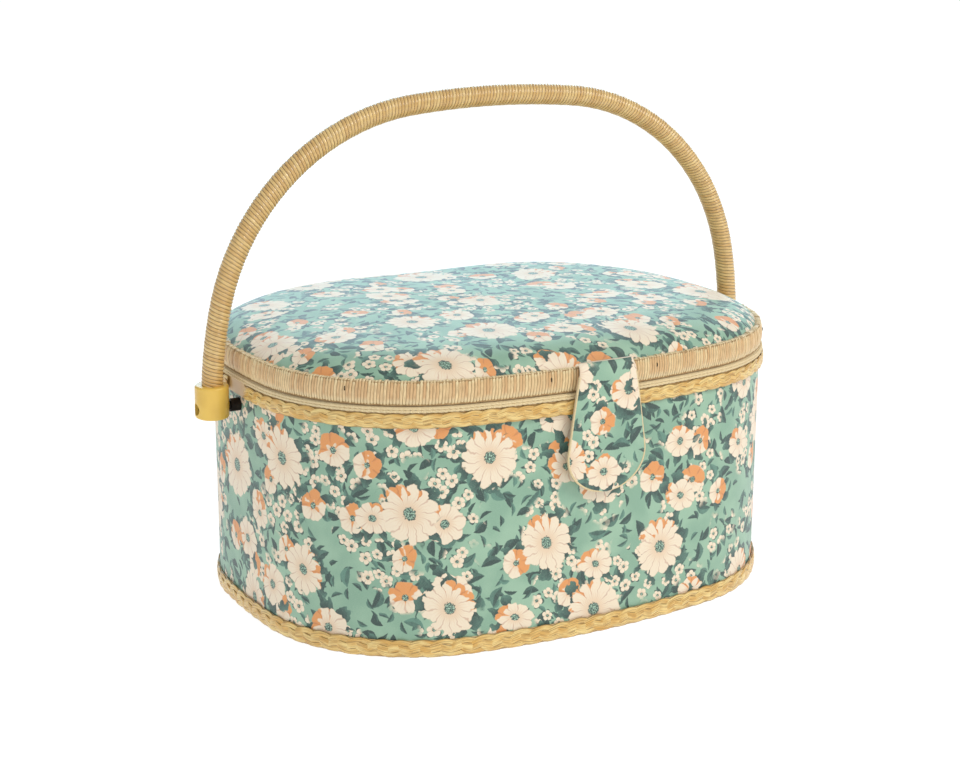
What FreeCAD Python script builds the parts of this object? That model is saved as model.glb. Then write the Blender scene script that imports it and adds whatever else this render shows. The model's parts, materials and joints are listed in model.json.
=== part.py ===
import FreeCAD, Part
import math
import os

import Sketcher

# An oval fabric-covered sewing box with a padded hinged lid, a bail handle and two trays, in millimetres.
#
# X runs along the oval, -Y is the front with the closing tab, Z is up. The origin lies on the floor at the
# centre of the oval. Every oval is one outline grown or shrunk by a named step, so a wall is the cut of two.

os.makedirs("parts", exist_ok=True)
doc = FreeCAD.newDocument("sewing_box")
Vector = FreeCAD.Vector

SIZES = {
    # the outline at the outer face of the wall's fabric: four large arcs with rounded corners
    "half_length": 165.0,
    "half_width": 130.0,
    "side_radius": 464.8,
    "end_radius": 462.5,
    "corner_radius": 100.66,
    # how far each layer lies outside (+) or inside (-) that outline
    "braid_grow": 2.8,
    "band_grow": 0.9,
    "fabric_grow": 0.0,
    "board_grow": -0.8,
    "lining_grow": -4.3,
    "liner_grow": -5.1,
    "cavity_grow": -12.1,
    "pad_grow": -12.6,
    # levels
    "floor_level": 0.0,
    "base_low": 1.0,
    "base_top": 5.0,
    "pad_top": 9.0,
    "braid_top": 10.7,
    "ledge_level": 116.0,
    "upper_braid_low": 132.7,
    "wall_top": 141.2,
    "cord_top": 144.8,
    "braid_gap": 12.0,
    # how far a tool reaches past what it cuts, and how deep one piece is let into another
    "over": 1.0,
    "clear_of": 20.0,
    "let_in": 0.5,
    # lid
    "lid_low": 145.2,
    "rim_top": 158.3,
    "lining_low": 152.6,
    "board_low": 153.2,
    "board_top": 156.2,
    "wrap_grow": 1.3,
    "core_grow": 0.4,
    "core_inner_grow": -5.5,
    "cushion_grow": -2.6,
    "cushion_low": 156.2,
    "cushion_top": 171.4,
    "cushion_round": 12.0,
    "cover_grow": -1.6,
    "cover_top": 172.4,
    "cover_round": 13.0,
    # lid hinges at the back
    "hinge_y": 135.3,
    "hinge_z": 145.0,
    "hinge_x": 48.0,
    "knuckle_radius": 2.3,
    "knuckle_length": 6.8,
    "knuckle_gap": 0.3,
    "hinge_pin_radius": 1.0,
    "hinge_bore_radius": 1.05,
    "leaf_thick": 0.8,
    "leaf_tall": 12.0,
    "leaf_below_axis": 1.4,
    "leaf_margin": 0.6,
    "pin_over": 0.6,
    "web_above_axis": 1.2,
    "base_leaf_y": 132.9,
    "lid_leaf_y": 131.5,
    "screw_radius": 1.2,
    "screw_long": 5.0,
    "screw_head_radius": 2.2,
    "screw_head_tall": 0.7,
    "screw_x": 6.5,
    "lid_screw_rise": 1.0,
    # handle
    "pivot_z": 127.0,
    "lean": 2.37,
    "half_span": 181.9,
    "leg_radius": 273.6,
    "shoulder_radius": 138.1,
    "crown_radius": 537.0,
    "arch_rise": 169.45,
    "core_radius": 4.4,
    "wrap_radius": 6.3,
    "core_start": 4.5,
    "wrap_gap": 0.5,
    "cap_radius": 9.8,
    "cap_below": 5.4,
    "cap_above": 13.7,
    "cap_round": 1.2,
    "cap_bore_radius": 2.6,
    "bolt_radius": 2.5,
    "head_radius": 3.2,
    "head_bore_radius": 3.5,
    "head_x": 186.4,
    "head_thick": 2.6,
    "head_gap": 0.2,
    "slot_wide": 1.2,
    "slot_deep": 1.0,
    "bolt_inner_x": 157.0,
    "spacer_radius": 3.8,
    "spacer_x": 171.2,
    "washer_radius": 6.0,
    "washer_thick": 0.8,
    "washer_gap": 0.06,
    "nut_radius": 4.6,
    "nut_thick": 2.0,
    # closing tab and its magnetic clasp
    "tab_y": 133.4,
    "tab_stiff_y": 134.0,
    "tab_face_y": 134.8,
    "tab_out_y": 135.6,
    "tab_top_z": 160.0,
    "tab_top_half": 17.6,
    "tab_wide_half": 25.8,
    "tab_wide_z": 109.0,
    "tab_low_z": 86.0,
    "tab_margin": 2.5,
    "clasp_z": 103.0,
    "clasp_radius": 7.0,
    "clasp_base_y": 131.4,
    "clasp_tab_y": 131.8,
    "clasp_deep": 4.0,
    # trays
    "tray_grow": -9.2,
    "tray_wall": 1.6,
    "tray_floor": 1.6,
    "upper_tray_low": 118.6,
    "upper_tray_top": 139.4,
    "lower_flange_top": 118.2,
    "lower_tub_grow": -15.0,
    "lower_tray_low": 96.6,
    "divider": 1.6,
    "divider_x": 52.0,
    "divider_top": 136.4,
    "lower_divider_top": 116.0,
}

sheet = doc.addObject("Spreadsheet::Sheet", "Sizes")
for row, (alias, size) in enumerate(SIZES.items(), start=1):
    sheet.set(f"A{row}", alias)
    sheet.set(f"B{row}", str(size))
    sheet.setAlias(f"B{row}", alias)
doc.recompute()

nodes = {}


def bind(thing, **expressions):
    """Binds properties, written with __ for a dot, to expressions of the sheet's aliases in braces."""
    for name, text in expressions.items():
        words = {alias: f"Sizes.{alias}" for alias in SIZES}
        thing.setExpression(name.replace("__", "."), text.format(**words))


def value(text):
    """The number that an expression of aliases in braces has now."""
    return float(FreeCAD.Units.Quantity(text.format(**SIZES)).Value)


def keep(name, thing):
    """Names a finished sub-part, whose label is its file's name."""
    thing.Label = name
    nodes[name] = thing
    return thing


def plane_of(body, role):
    return next(one for one in body.Origin.OriginFeatures if one.Role == role)


def new_sketch(body, name, role="XY_Plane"):
    sketch = body.newObject("Sketcher::SketchObject", name)
    sketch.AttachmentSupport = [(plane_of(body, role), "")]
    sketch.MapMode = "FlatFace"
    return sketch


def constrain(sketch, expression, *constraint):
    """Adds a driving constraint and binds its number to the sheet."""
    number = sketch.addConstraint(Sketcher.Constraint(*constraint, value(expression)))
    bind(sketch, **{f"Constraints[{number}]": expression})


def circles_meet(first, first_radius, second, second_radius):
    """The upper of the two points where two circles in the plane cross."""
    apart = (second - first).Length
    along = (first_radius**2 - second_radius**2 + apart**2) / (2 * apart)
    unit = (second - first).normalize()
    middle = first + unit * along
    aside = Vector(-unit.y, unit.x) * math.sqrt(first_radius**2 - along**2)
    return max((middle + aside, middle - aside), key=lambda point: point.y)


def arc_between(centre, radius, start, end):
    """The arc that turns left from start to end."""
    angles = [math.atan2(point.y - centre.y, point.x - centre.x) for point in (start, end)]
    return Part.ArcOfCircle(Part.Circle(centre, Vector(0, 0, 1), radius), *angles)


def oval(name, grow, low, high, top_round=None):
    """A solid oval between two levels: four arcs padded, then the corners rounded concentrically."""
    body = doc.addObject("PartDesign::Body", name)
    sketch = new_sketch(body, name + "_outline")
    bind(sketch, AttachmentOffset__Base__z=low)
    side_radius = value("{side_radius} + " + grow)
    end_radius = value("{end_radius} + " + grow)
    side_shift = value("{side_radius} - {half_width}")
    end_shift = value("{end_radius} - {half_length}")
    corner = circles_meet(Vector(0, -side_shift), side_radius, Vector(-end_shift, 0), end_radius)
    corners = [Vector(corner.x * sx, corner.y * sy) for sx, sy in ((1, -1), (1, 1), (-1, 1), (-1, -1))]
    centres = [Vector(-end_shift, 0), Vector(0, -side_shift), Vector(end_shift, 0), Vector(0, side_shift)]
    radii = [end_radius, side_radius] * 2
    for turn in range(4):
        arc = arc_between(centres[turn], radii[turn], corners[turn], corners[(turn + 1) % 4])
        sketch.addGeometry(arc, False)
    for turn in range(4):
        sketch.addConstraint(Sketcher.Constraint("Coincident", turn, 2, (turn + 1) % 4, 1))
        on_axis = -1 if turn % 2 == 0 else -2
        sketch.addConstraint(Sketcher.Constraint("PointOnObject", turn, 3, on_axis))
    for turn, kind in ((0, "DistanceX"), (1, "DistanceY"), (2, "DistanceX"), (3, "DistanceY")):
        ends = (turn, 3, -1, 1) if turn < 2 else (-1, 1, turn, 3)
        shift = "{end_radius} - {half_length}" if turn % 2 == 0 else "{side_radius} - {half_width}"
        constrain(sketch, shift, kind, *ends)
        whose = "{end_radius} + " if turn % 2 == 0 else "{side_radius} + "
        constrain(sketch, whose + grow, "Radius", turn)
    pad = body.newObject("PartDesign::Pad", name + "_pad")
    pad.Profile = sketch
    bind(pad, Length=f"({high}) - ({low})")
    doc.recompute()
    upright = [
        f"Edge{number}"
        for number, edge in enumerate(pad.Shape.Edges, start=1)
        if abs(edge.Vertexes[0].Z - edge.Vertexes[-1].Z) > 1e-6
    ]
    corners_rounded = body.newObject("PartDesign::Fillet", name + "_corners")
    corners_rounded.Base = (pad, upright)
    bind(corners_rounded, Radius="{corner_radius} + " + grow)
    doc.recompute()
    if top_round:
        top_level = value(high)
        top_edges = [
            f"Edge{number}"
            for number, edge in enumerate(corners_rounded.Shape.Edges, start=1)
            if edge.BoundBox.ZMin > top_level - 1e-3
        ]
        top_rounded = body.newObject("PartDesign::Fillet", name + "_top")
        top_rounded.Base = (corners_rounded, top_edges)
        bind(top_rounded, Radius=top_round)
        doc.recompute()
    return body


def cut(name, base, *tools):
    """base with each tool taken away."""
    result = doc.addObject("Part::Cut", name)
    result.Base = base
    result.Tool = tools[0] if len(tools) == 1 else fuse(name + "_tools", *tools)
    return result


def fuse(name, *pieces):
    result = doc.addObject("Part::MultiFuse", name)
    result.Shapes = list(pieces)
    return result


def group(name, pieces):
    """Separate solids of one node."""
    result = doc.addObject("Part::Compound", name)
    result.Links = list(pieces)
    return result


def ring(name, outer, inner, low, high, *tools):
    """The wall between two ovals."""
    outside = oval(name + "_outside", outer, low, high)
    inside = oval(name + "_inside", inner, low, high)
    return cut(name, outside, inside, *tools)


def box(name, x, y, z):
    """A box from pairs of expressions, low and high on each axis."""
    result = doc.addObject("Part::Box", name)
    bind(
        result,
        Length=f"({x[1]}) - ({x[0]})",
        Width=f"({y[1]}) - ({y[0]})",
        Height=f"({z[1]}) - ({z[0]})",
        Placement__Base__x=x[0],
        Placement__Base__y=y[0],
        Placement__Base__z=z[0],
    )
    return result


TURNS = {
    "x": FreeCAD.Rotation(Vector(0, 1, 0), 90),
    "y": FreeCAD.Rotation(Vector(1, 0, 0), -90),
    "z": FreeCAD.Rotation(),
}


def rod(name, along, radius, start, end, x="0", y="0", z="0"):
    """A round bar along one axis, from start to end on it; the other two of x, y and z place its axis."""
    result = doc.addObject("Part::Cylinder", name)
    result.Placement = FreeCAD.Placement(Vector(), TURNS[along])
    places = {"x": x, "y": y, "z": z}
    places[along] = start
    bind(
        result,
        Radius=radius,
        Height=f"({end}) - ({start})",
        Placement__Base__x=places["x"],
        Placement__Base__y=places["y"],
        Placement__Base__z=places["z"],
    )
    return result


def nut(name, radius, start, end, z):
    """A hexagonal bar along X."""
    result = doc.addObject("Part::Prism", name)
    result.Polygon = 6
    result.Placement = FreeCAD.Placement(Vector(), TURNS["x"])
    bind(result, Circumradius=radius, Height=f"({end}) - ({start})")
    bind(result, Placement__Base__x=start, Placement__Base__z=z)
    return result


SIDES = (("left", -1), ("right", 1))


def span(side, low, high):
    """A stretch of X given on the right, as the pair of expressions for either side."""
    return (low, high) if side > 0 else (f"-({high})", f"-({low})")


# Basket: board wall between fabric and lining, a thicker liner whose top is the trays' ledge, braid trims.

keep("underside_cover", oval("Underside", "{lining_grow}", "{floor_level}", "{base_low}"))
keep("base_board", oval("Base", "{lining_grow}", "{base_low}", "{base_top}"))
keep("floor_pad", oval("FloorPad", "{pad_grow}", "{base_top}", "{pad_top}"))

for layer, node, outer, inner, low in (
    ("Fabric", "wall_fabric", "{fabric_grow}", "{board_grow}", "{floor_level}"),
    ("Board", "wall_board", "{board_grow}", "{lining_grow}", "{floor_level}"),
    ("Lining", "wall_lining", "{lining_grow}", "{liner_grow}", "{base_top}"),
):
    holes = []
    for word, side in SIDES:
        ends = span(side, "{half_length} - {clear_of}", "{half_length} + {over}")
        holes.append(rod(f"{layer}_hole_{word}", "x", "{bolt_radius}", *ends, z="{pivot_z}"))
    keep(node, ring(layer, outer, inner, low, "{wall_top}", *holes))

keep("liner_board", ring("Liner", "{liner_grow}", "{cavity_grow}", "{base_top}", "{ledge_level}"))
keep("rim_band", ring("Band", "{band_grow}", "{fabric_grow}", "{upper_braid_low}", "{wall_top}"))
keep("rim_cord", ring("Cord", "{band_grow}", "{liner_grow}", "{wall_top}", "{cord_top}"))
keep("lower_braid", ring("LowerBraid", "{braid_grow}", "{fabric_grow}", "{floor_level}", "{braid_top}"))

pivot_gap = box(
    "PivotGap",
    ("-{half_length} - {clear_of}", "{half_length} + {clear_of}"),
    ("-{braid_gap}", "{braid_gap}"),
    ("{upper_braid_low} - {over}", "{wall_top} + {over}"),
)
keep(
    "upper_braid",
    ring("UpperBraid", "{braid_grow}", "{band_grow}", "{upper_braid_low}", "{wall_top}", pivot_gap),
)

# Handle pivots: a slotted bolt through each cap, a spacer, the wall, a washer and a nut.

bolts, spacers, washers, nuts = [], [], [], []
for word, side in SIDES:
    shank_ends = span(side, "{bolt_inner_x}", "{head_x}")
    shank = rod(f"Shank_{word}", "x", "{bolt_radius}", *shank_ends, z="{pivot_z}")
    head_ends = span(side, "{head_x}", "{head_x} + {head_thick}")
    head = rod(f"Head_{word}", "x", "{head_radius}", *head_ends, z="{pivot_z}")
    slot = box(
        f"Slot_{word}",
        span(side, "{head_x} + {head_thick} - {slot_deep}", "{head_x} + {head_thick} + {over}"),
        ("-{head_radius} - {over}", "{head_radius} + {over}"),
        ("{pivot_z} - {slot_wide} / 2", "{pivot_z} + {slot_wide} / 2"),
    )
    bolts.append(cut(f"Bolt_{word}", fuse(f"BoltBlank_{word}", shank, head), slot))
    # The lining's inner face is curved, so the flat washer stands a hair off it.
    washer_high = "{half_length} + {liner_grow} - {washer_gap}"
    washer_low = washer_high + " - {washer_thick}"
    nut_low = washer_low + " - {nut_thick}"
    for pieces, title, radius, low, high in (
        (spacers, "Spacer", "{spacer_radius}", "{half_length}", "{spacer_x}"),
        (washers, "Washer", "{washer_radius}", washer_low, washer_high),
    ):
        disc = rod(f"{title}_disc_{word}", "x", radius, *span(side, low, high), z="{pivot_z}")
        bore_ends = span(side, low + " - {over}", high + " + {over}")
        bore = rod(f"{title}_bore_{word}", "x", "{bolt_radius}", *bore_ends, z="{pivot_z}")
        pieces.append(cut(f"{title}_{word}", disc, bore))
    blank = nut(f"NutBlank_{word}", "{nut_radius}", *span(side, nut_low, washer_low), z="{pivot_z}")
    bore_ends = span(side, nut_low + " - {over}", washer_low + " + {over}")
    bore = rod(f"NutBore_{word}", "x", "{bolt_radius}", *bore_ends, z="{pivot_z}")
    nuts.append(cut(f"Nut_{word}", blank, bore))

keep("pivot_bolts", group("Bolts", bolts))
# The spacer meets the curved wall along its middle only, so it is trimmed by the wall's outline.
spacer_trim = oval("SpacerTrim", "{fabric_grow}", "{pivot_z} - {clear_of}", "{pivot_z} + {clear_of}")
keep("pivot_spacers", cut("Spacers", group("SpacerPair", spacers), spacer_trim))
keep("pivot_washers", group("Washers", washers))
keep("pivot_nuts", group("Nuts", nuts))

# Lid: a stiff rim ring with a wrapped band, a board and lining inside it, and the padded top.

keep("lid_rim_core", ring("RimCore", "{core_grow}", "{core_inner_grow}", "{lid_low}", "{rim_top}"))
keep("lid_rim_wrap", ring("RimWrap", "{wrap_grow}", "{core_grow}", "{lid_low}", "{rim_top}"))
keep("lid_board", oval("LidBoard", "{core_inner_grow}", "{board_low}", "{board_top}"))
keep("lid_lining", oval("LidLining", "{core_inner_grow}", "{lining_low}", "{board_low}"))
cushion_foot = oval("CushionFoot", "{core_inner_grow}", "{cushion_low}", "{rim_top}")
cushion_top = oval("CushionTop", "{cushion_grow}", "{rim_top}", "{cushion_top}", "{cushion_round}")
keep("lid_pad", fuse("LidPad", cushion_foot, cushion_top))
cover_outside = oval("CoverOutside", "{cover_grow}", "{rim_top}", "{cover_top}", "{cover_round}")
cover_inside = oval("CoverInside", "{cushion_grow}", "{rim_top}", "{cushion_top}", "{cushion_round}")
keep("lid_cover", cut("LidCover", cover_outside, cover_inside))

# Lid hinges: three knuckles on one pin, the outer two on the basket's leaf and the middle one on the lid's.

base_leaves, lid_leaves, pins, base_screws, lid_screws = [], [], [], [], []
for word, side in SIDES:
    middle = "{hinge_x}" if side > 0 else "-{hinge_x}"
    half = "({knuckle_length} * 1.5 + {knuckle_gap})"
    at_axis = {"y": "{hinge_y}", "z": "{hinge_z}"}
    pin_ends = (f"{middle} - {half} - {{pin_over}}", f"{middle} + {half} + {{pin_over}}")
    pins.append(rod(f"Pin_{word}", "x", "{hinge_pin_radius}", *pin_ends, **at_axis))
    bore_ends = (f"{middle} - {half} - {{over}}", f"{middle} + {half} + {{over}}")
    outer_knuckles = [
        rod(f"Knuckle_{word}_{end}", "x", "{knuckle_radius}", low, high, **at_axis)
        for end, low, high in (
            ("a", f"{middle} - {half}", f"{middle} - {half} + {{knuckle_length}}"),
            ("b", f"{middle} + {half} - {{knuckle_length}}", f"{middle} + {half}"),
        )
    ]
    inner_knuckle = rod(
        f"Knuckle_{word}_mid",
        "x",
        "{knuckle_radius}",
        f"{middle} - {{knuckle_length}} / 2",
        f"{middle} + {{knuckle_length}} / 2",
        **at_axis,
    )
    base_plate = box(
        f"BasePlate_{word}",
        (f"{middle} - {half}", f"{middle} + {half}"),
        ("{base_leaf_y}", "{base_leaf_y} + {leaf_thick}"),
        ("{hinge_z} - {knuckle_radius} - {leaf_tall}", "{hinge_z} - {leaf_below_axis}"),
    )
    # The middle stretch of the fixed leaf is cut back so that the lid's knuckle can turn.
    turn_space = rod(
        f"TurnSpace_{word}",
        "x",
        "{knuckle_radius} + {knuckle_gap}",
        f"{middle} - {{knuckle_length}} / 2 - {{knuckle_gap}}",
        f"{middle} + {{knuckle_length}} / 2 + {{knuckle_gap}}",
        **at_axis,
    )
    base_bore = rod(f"BaseBore_{word}", "x", "{hinge_pin_radius}", *bore_ends, **at_axis)
    base_blank = fuse(f"BaseBlank_{word}", base_plate, *outer_knuckles)
    # The lid's leaf lies on the rim's outer face and reaches the knuckle with a short web.
    lid_plate = box(
        f"LidPlate_{word}",
        (f"{middle} - {half}", f"{middle} + {half}"),
        ("{lid_leaf_y}", "{lid_leaf_y} + {leaf_thick}"),
        ("{lid_low} + {leaf_margin}", "{rim_top} - {leaf_margin}"),
    )
    web = box(
        f"Web_{word}",
        (f"{middle} - {{knuckle_length}} / 2", f"{middle} + {{knuckle_length}} / 2"),
        ("{lid_leaf_y}", "{hinge_y}"),
        ("{hinge_z} + {web_above_axis}", "{hinge_z} + {knuckle_radius}"),
    )
    lid_bore = rod(f"LidBore_{word}", "x", "{hinge_bore_radius}", *bore_ends, **at_axis)
    lid_blank = fuse(f"LidBlank_{word}", lid_plate, web, inner_knuckle)
    fixed_holes, moving_holes = [], []
    base_face = "{base_leaf_y} + {leaf_thick}"
    base_height = "{hinge_z} - {knuckle_radius} - {leaf_tall} / 2"
    lid_face = "{lid_leaf_y} + {leaf_thick}"
    lid_height = "({lid_low} + {rim_top}) / 2 + {lid_screw_rise}"
    for hole, shift in (("a", "-{screw_x}"), ("b", "{screw_x}")):
        for screws, holes, title, face, height in (
            (base_screws, fixed_holes, "Base", base_face, base_height),
            (lid_screws, moving_holes, "Lid", lid_face, lid_height),
        ):
            place = {"x": f"{middle} + {shift}", "z": height}
            tag = f"{title}_{word}_{hole}"
            shaft = rod(f"ScrewShaft_{tag}", "y", "{screw_radius}", f"{face} - {{screw_long}}", face, **place)
            head_top = face + " + {screw_head_tall}"
            cap = rod(f"ScrewHead_{tag}", "y", "{screw_head_radius}", face, head_top, **place)
            screws.append(fuse(f"Screw_{tag}", shaft, cap))
            hole_ends = (face + " - {clear_of}", face + " + {over}")
            holes.append(rod(f"ScrewHole_{tag}", "y", "{screw_radius}", *hole_ends, **place))
    base_leaves.append(cut(f"BaseLeaf_{word}", base_blank, base_bore, turn_space, *fixed_holes))
    lid_leaves.append(cut(f"LidLeaf_{word}", lid_blank, lid_bore, *moving_holes))

keep("hinge_base_leaves", group("BaseLeaves", base_leaves))
keep("hinge_lid_leaves", group("LidLeaves", lid_leaves))
keep("hinge_pins", group("HingePins", pins))
hinge_base_screws = keep("hinge_base_screws", group("BaseScrews", base_screws))
hinge_lid_screws = keep("hinge_lid_screws", group("LidScrews", lid_screws))

# The screws are driven into trims and boards, which are cut to their shape.
for node, screws in (
    ("upper_braid", hinge_base_screws),
    ("rim_band", hinge_base_screws),
    ("wall_fabric", hinge_base_screws),
    ("wall_board", hinge_base_screws),
    ("lid_rim_wrap", hinge_lid_screws),
    ("lid_rim_core", hinge_lid_screws),
):
    whole = nodes[node]
    whole.Label = node + " before its screw holes"
    keep(node, cut(whole.Name + "Drilled", whole, screws))


# Handle: a rod bent to tangent arcs, wound with strand, in a cap at each end.


def arch(name, radius, start):
    """A round bar along the handle's arch, both legs beginning at a height above the pivots."""
    body = doc.addObject("PartDesign::Body", name)
    path = new_sketch(body, name + "_path", "XZ_Plane")
    bind(path, AttachmentOffset__Base__y="{pivot_z}")
    leg_centre = Vector(value("{leg_radius} - {half_span}"), 0)
    crown_centre = Vector(0, value("{arch_rise} - {crown_radius}"))
    leg_radius = value("{leg_radius}")
    shoulder_radius = value("{shoulder_radius}")
    crown_radius = value("{crown_radius}")
    left_shoulder = circles_meet(
        leg_centre, leg_radius - shoulder_radius, crown_centre, crown_radius - shoulder_radius
    )
    foot_height = value(start)
    foot = Vector(leg_centre.x - math.sqrt(leg_radius**2 - foot_height**2), foot_height)
    leg_end = leg_centre + (left_shoulder - leg_centre).normalize() * leg_radius
    crown_end = crown_centre + (left_shoulder - crown_centre).normalize() * crown_radius

    def flip(point):
        return Vector(-point.x, point.y)

    pieces = (
        (flip(leg_centre), leg_radius, flip(foot), flip(leg_end)),
        (flip(left_shoulder), shoulder_radius, flip(leg_end), flip(crown_end)),
        (crown_centre, crown_radius, flip(crown_end), crown_end),
        (left_shoulder, shoulder_radius, crown_end, leg_end),
        (leg_centre, leg_radius, leg_end, foot),
    )
    for piece in pieces:
        path.addGeometry(arc_between(*piece), False)
    for joint in range(4):
        path.addConstraint(Sketcher.Constraint("Tangent", joint, 2, joint + 1, 1))
    path.addConstraint(Sketcher.Constraint("PointOnObject", 0, 3, -1))
    path.addConstraint(Sketcher.Constraint("PointOnObject", 2, 3, -2))
    path.addConstraint(Sketcher.Constraint("PointOnObject", 4, 3, -1))
    constrain(path, "{leg_radius} - {half_span}", "DistanceX", 0, 3, -1, 1)
    constrain(path, "{leg_radius} - {half_span}", "DistanceX", -1, 1, 4, 3)
    constrain(path, "{crown_radius} - {arch_rise}", "DistanceY", 2, 3, -1, 1)
    for number, word in enumerate(("leg", "shoulder", "crown", "shoulder", "leg")):
        constrain(path, "{" + word + "_radius}", "Radius", number)
    constrain(path, start, "DistanceY", -1, 1, 0, 1)
    constrain(path, start, "DistanceY", -1, 1, 4, 2)

    section = new_sketch(body, name + "_section")
    bind(section, AttachmentOffset__Base__z="{pivot_z} + " + start)
    section.addGeometry(Part.Circle(Vector(-foot.x, 0), Vector(0, 0, 1), value(radius)), False)
    section.addConstraint(Sketcher.Constraint("PointOnObject", 0, 3, -1))
    reach = "sqrt({leg_radius} ^ 2 - (" + start + ") ^ 2) - {leg_radius} + {half_span}"
    number = section.addConstraint(Sketcher.Constraint("DistanceX", -1, 1, 0, 3, -foot.x))
    bind(section, **{f"Constraints[{number}]": reach})
    constrain(section, radius, "Radius", 0)

    pipe = body.newObject("PartDesign::AdditivePipe", name + "_pipe")
    pipe.Profile = section
    pipe.Spine = (path, [f"Edge{number}" for number in range(1, 6)])
    doc.recompute()
    return body


def caps():
    """The caps' blanks with the bolt's bore and the recess for its head."""
    pieces = []
    for word, side in SIDES:
        body = doc.addObject("PartDesign::Body", f"Cap_{word}")
        sketch = new_sketch(body, f"Cap_{word}_circle")
        bind(sketch, AttachmentOffset__Base__z="{pivot_z} - {cap_below}")
        middle = Vector(side * value("{half_span}"), 0)
        sketch.addGeometry(Part.Circle(middle, Vector(0, 0, 1), value("{cap_radius}")), False)
        sketch.addConstraint(Sketcher.Constraint("PointOnObject", 0, 3, -1))
        ends = (-1, 1, 0, 3) if side > 0 else (0, 3, -1, 1)
        constrain(sketch, "{half_span}", "DistanceX", *ends)
        constrain(sketch, "{cap_radius}", "Radius", 0)
        pad = body.newObject("PartDesign::Pad", f"Cap_{word}_pad")
        pad.Profile = sketch
        bind(pad, Length="{cap_below} + {cap_above}")
        doc.recompute()
        rims = [f"Edge{n}" for n, edge in enumerate(pad.Shape.Edges, start=1) if edge.BoundBox.ZLength < 1e-3]
        rounded = body.newObject("PartDesign::Fillet", f"Cap_{word}_round")
        rounded.Base = (pad, rims)
        bind(rounded, Radius="{cap_round}")
        bore_ends = span(side, "{half_span} - {clear_of}", "{half_span} + {clear_of}")
        bore = rod(f"CapBore_{word}", "x", "{cap_bore_radius}", *bore_ends, z="{pivot_z}")
        recess_ends = span(side, "{head_x} - {head_gap}", "{head_x} + {clear_of}")
        recess = rod(f"CapRecess_{word}", "x", "{head_bore_radius}", *recess_ends, z="{pivot_z}")
        pieces.append(cut(f"CapDrilled_{word}", body, bore, recess))
    return pieces


core = arch("HandleCore", "{core_radius}", "{core_start}")
winding_outside = arch("WindingOutside", "{wrap_radius}", "{cap_above} + {wrap_gap}")
winding_inside = arch("WindingInside", "{core_radius}", "{core_start}")
winding = cut("HandleWinding", winding_outside, winding_inside)
cap_pair = cut("HandleCaps", group("CapPair", caps()), arch("CapSocket", "{core_radius}", "{core_start}"))
for name, thing in (("handle_core", core), ("handle_wrap", winding), ("handle_caps", cap_pair)):
    # The handle leans about its pivots, which lie along X at the pivots' height.
    thing.Placement = FreeCAD.Placement(Vector(), FreeCAD.Rotation(Vector(1, 0, 0), value("{lean}")))
    bind(
        thing,
        Placement__Rotation__Angle="{lean}",
        Placement__Base__y="{pivot_z} * sin({lean} * 1 deg)",
        Placement__Base__z="{pivot_z} * (1 - cos({lean} * 1 deg))",
    )
    keep(name, thing)


# Closing tab: stiffener between two layers of cloth, with a magnetic clasp behind it.


def tab_layer(name, back, front, margin="0"):
    """A tongue that widens downwards and ends in a round, as a plate facing the front."""
    body = doc.addObject("PartDesign::Body", name)
    sketch = new_sketch(body, name + "_outline", "XZ_Plane")
    bind(sketch, AttachmentOffset__Base__z=back)
    top = value("{tab_top_z} - " + margin)
    top_half = value("{tab_top_half} - " + margin)
    wide = value("{tab_wide_half} - " + margin)
    wide_z = value("{tab_wide_z}")
    low = value("{tab_low_z} + " + margin)
    corners = [Vector(-top_half, top), Vector(-wide, wide_z), Vector(wide, wide_z), Vector(top_half, top)]
    sketch.addGeometry(Part.LineSegment(corners[0], corners[1]), False)
    sketch.addGeometry(Part.Arc(corners[1], Vector(0, low), corners[2]), False)
    sketch.addGeometry(Part.LineSegment(corners[2], corners[3]), False)
    sketch.addGeometry(Part.LineSegment(corners[3], corners[0]), False)
    for first, first_end, second, second_end in ((0, 2, 1, 1), (1, 2, 2, 1), (2, 2, 3, 1), (3, 2, 0, 1)):
        sketch.addConstraint(Sketcher.Constraint("Coincident", first, first_end, second, second_end))
    sketch.addConstraint(Sketcher.Constraint("Symmetric", 0, 1, 2, 2, -2))
    sketch.addConstraint(Sketcher.Constraint("Symmetric", 0, 2, 2, 1, -2))
    constrain(sketch, "({tab_top_half} - " + margin + ") * 2", "DistanceX", 3, 2, 3, 1)
    constrain(sketch, "{tab_top_z} - " + margin, "DistanceY", -1, 1, 0, 1)
    constrain(sketch, "({tab_wide_half} - " + margin + ") * 2", "DistanceX", 0, 2, 2, 1)
    constrain(sketch, "{tab_wide_z}", "DistanceY", -1, 1, 0, 2)
    drop = "({tab_wide_z} - {tab_low_z} - " + margin + ")"
    arc_radius = "(({tab_wide_half} - " + margin + ") ^ 2 + " + drop + " ^ 2) / (2 * " + drop + ")"
    drop_now = wide_z - low
    number = sketch.addConstraint(Sketcher.Constraint("Radius", 1, (wide**2 + drop_now**2) / (2 * drop_now)))
    bind(sketch, **{f"Constraints[{number}]": arc_radius})
    pad = body.newObject("PartDesign::Pad", name + "_pad")
    pad.Profile = sketch
    bind(pad, Length=f"({front}) - ({back})")
    doc.recompute()
    return body


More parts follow.
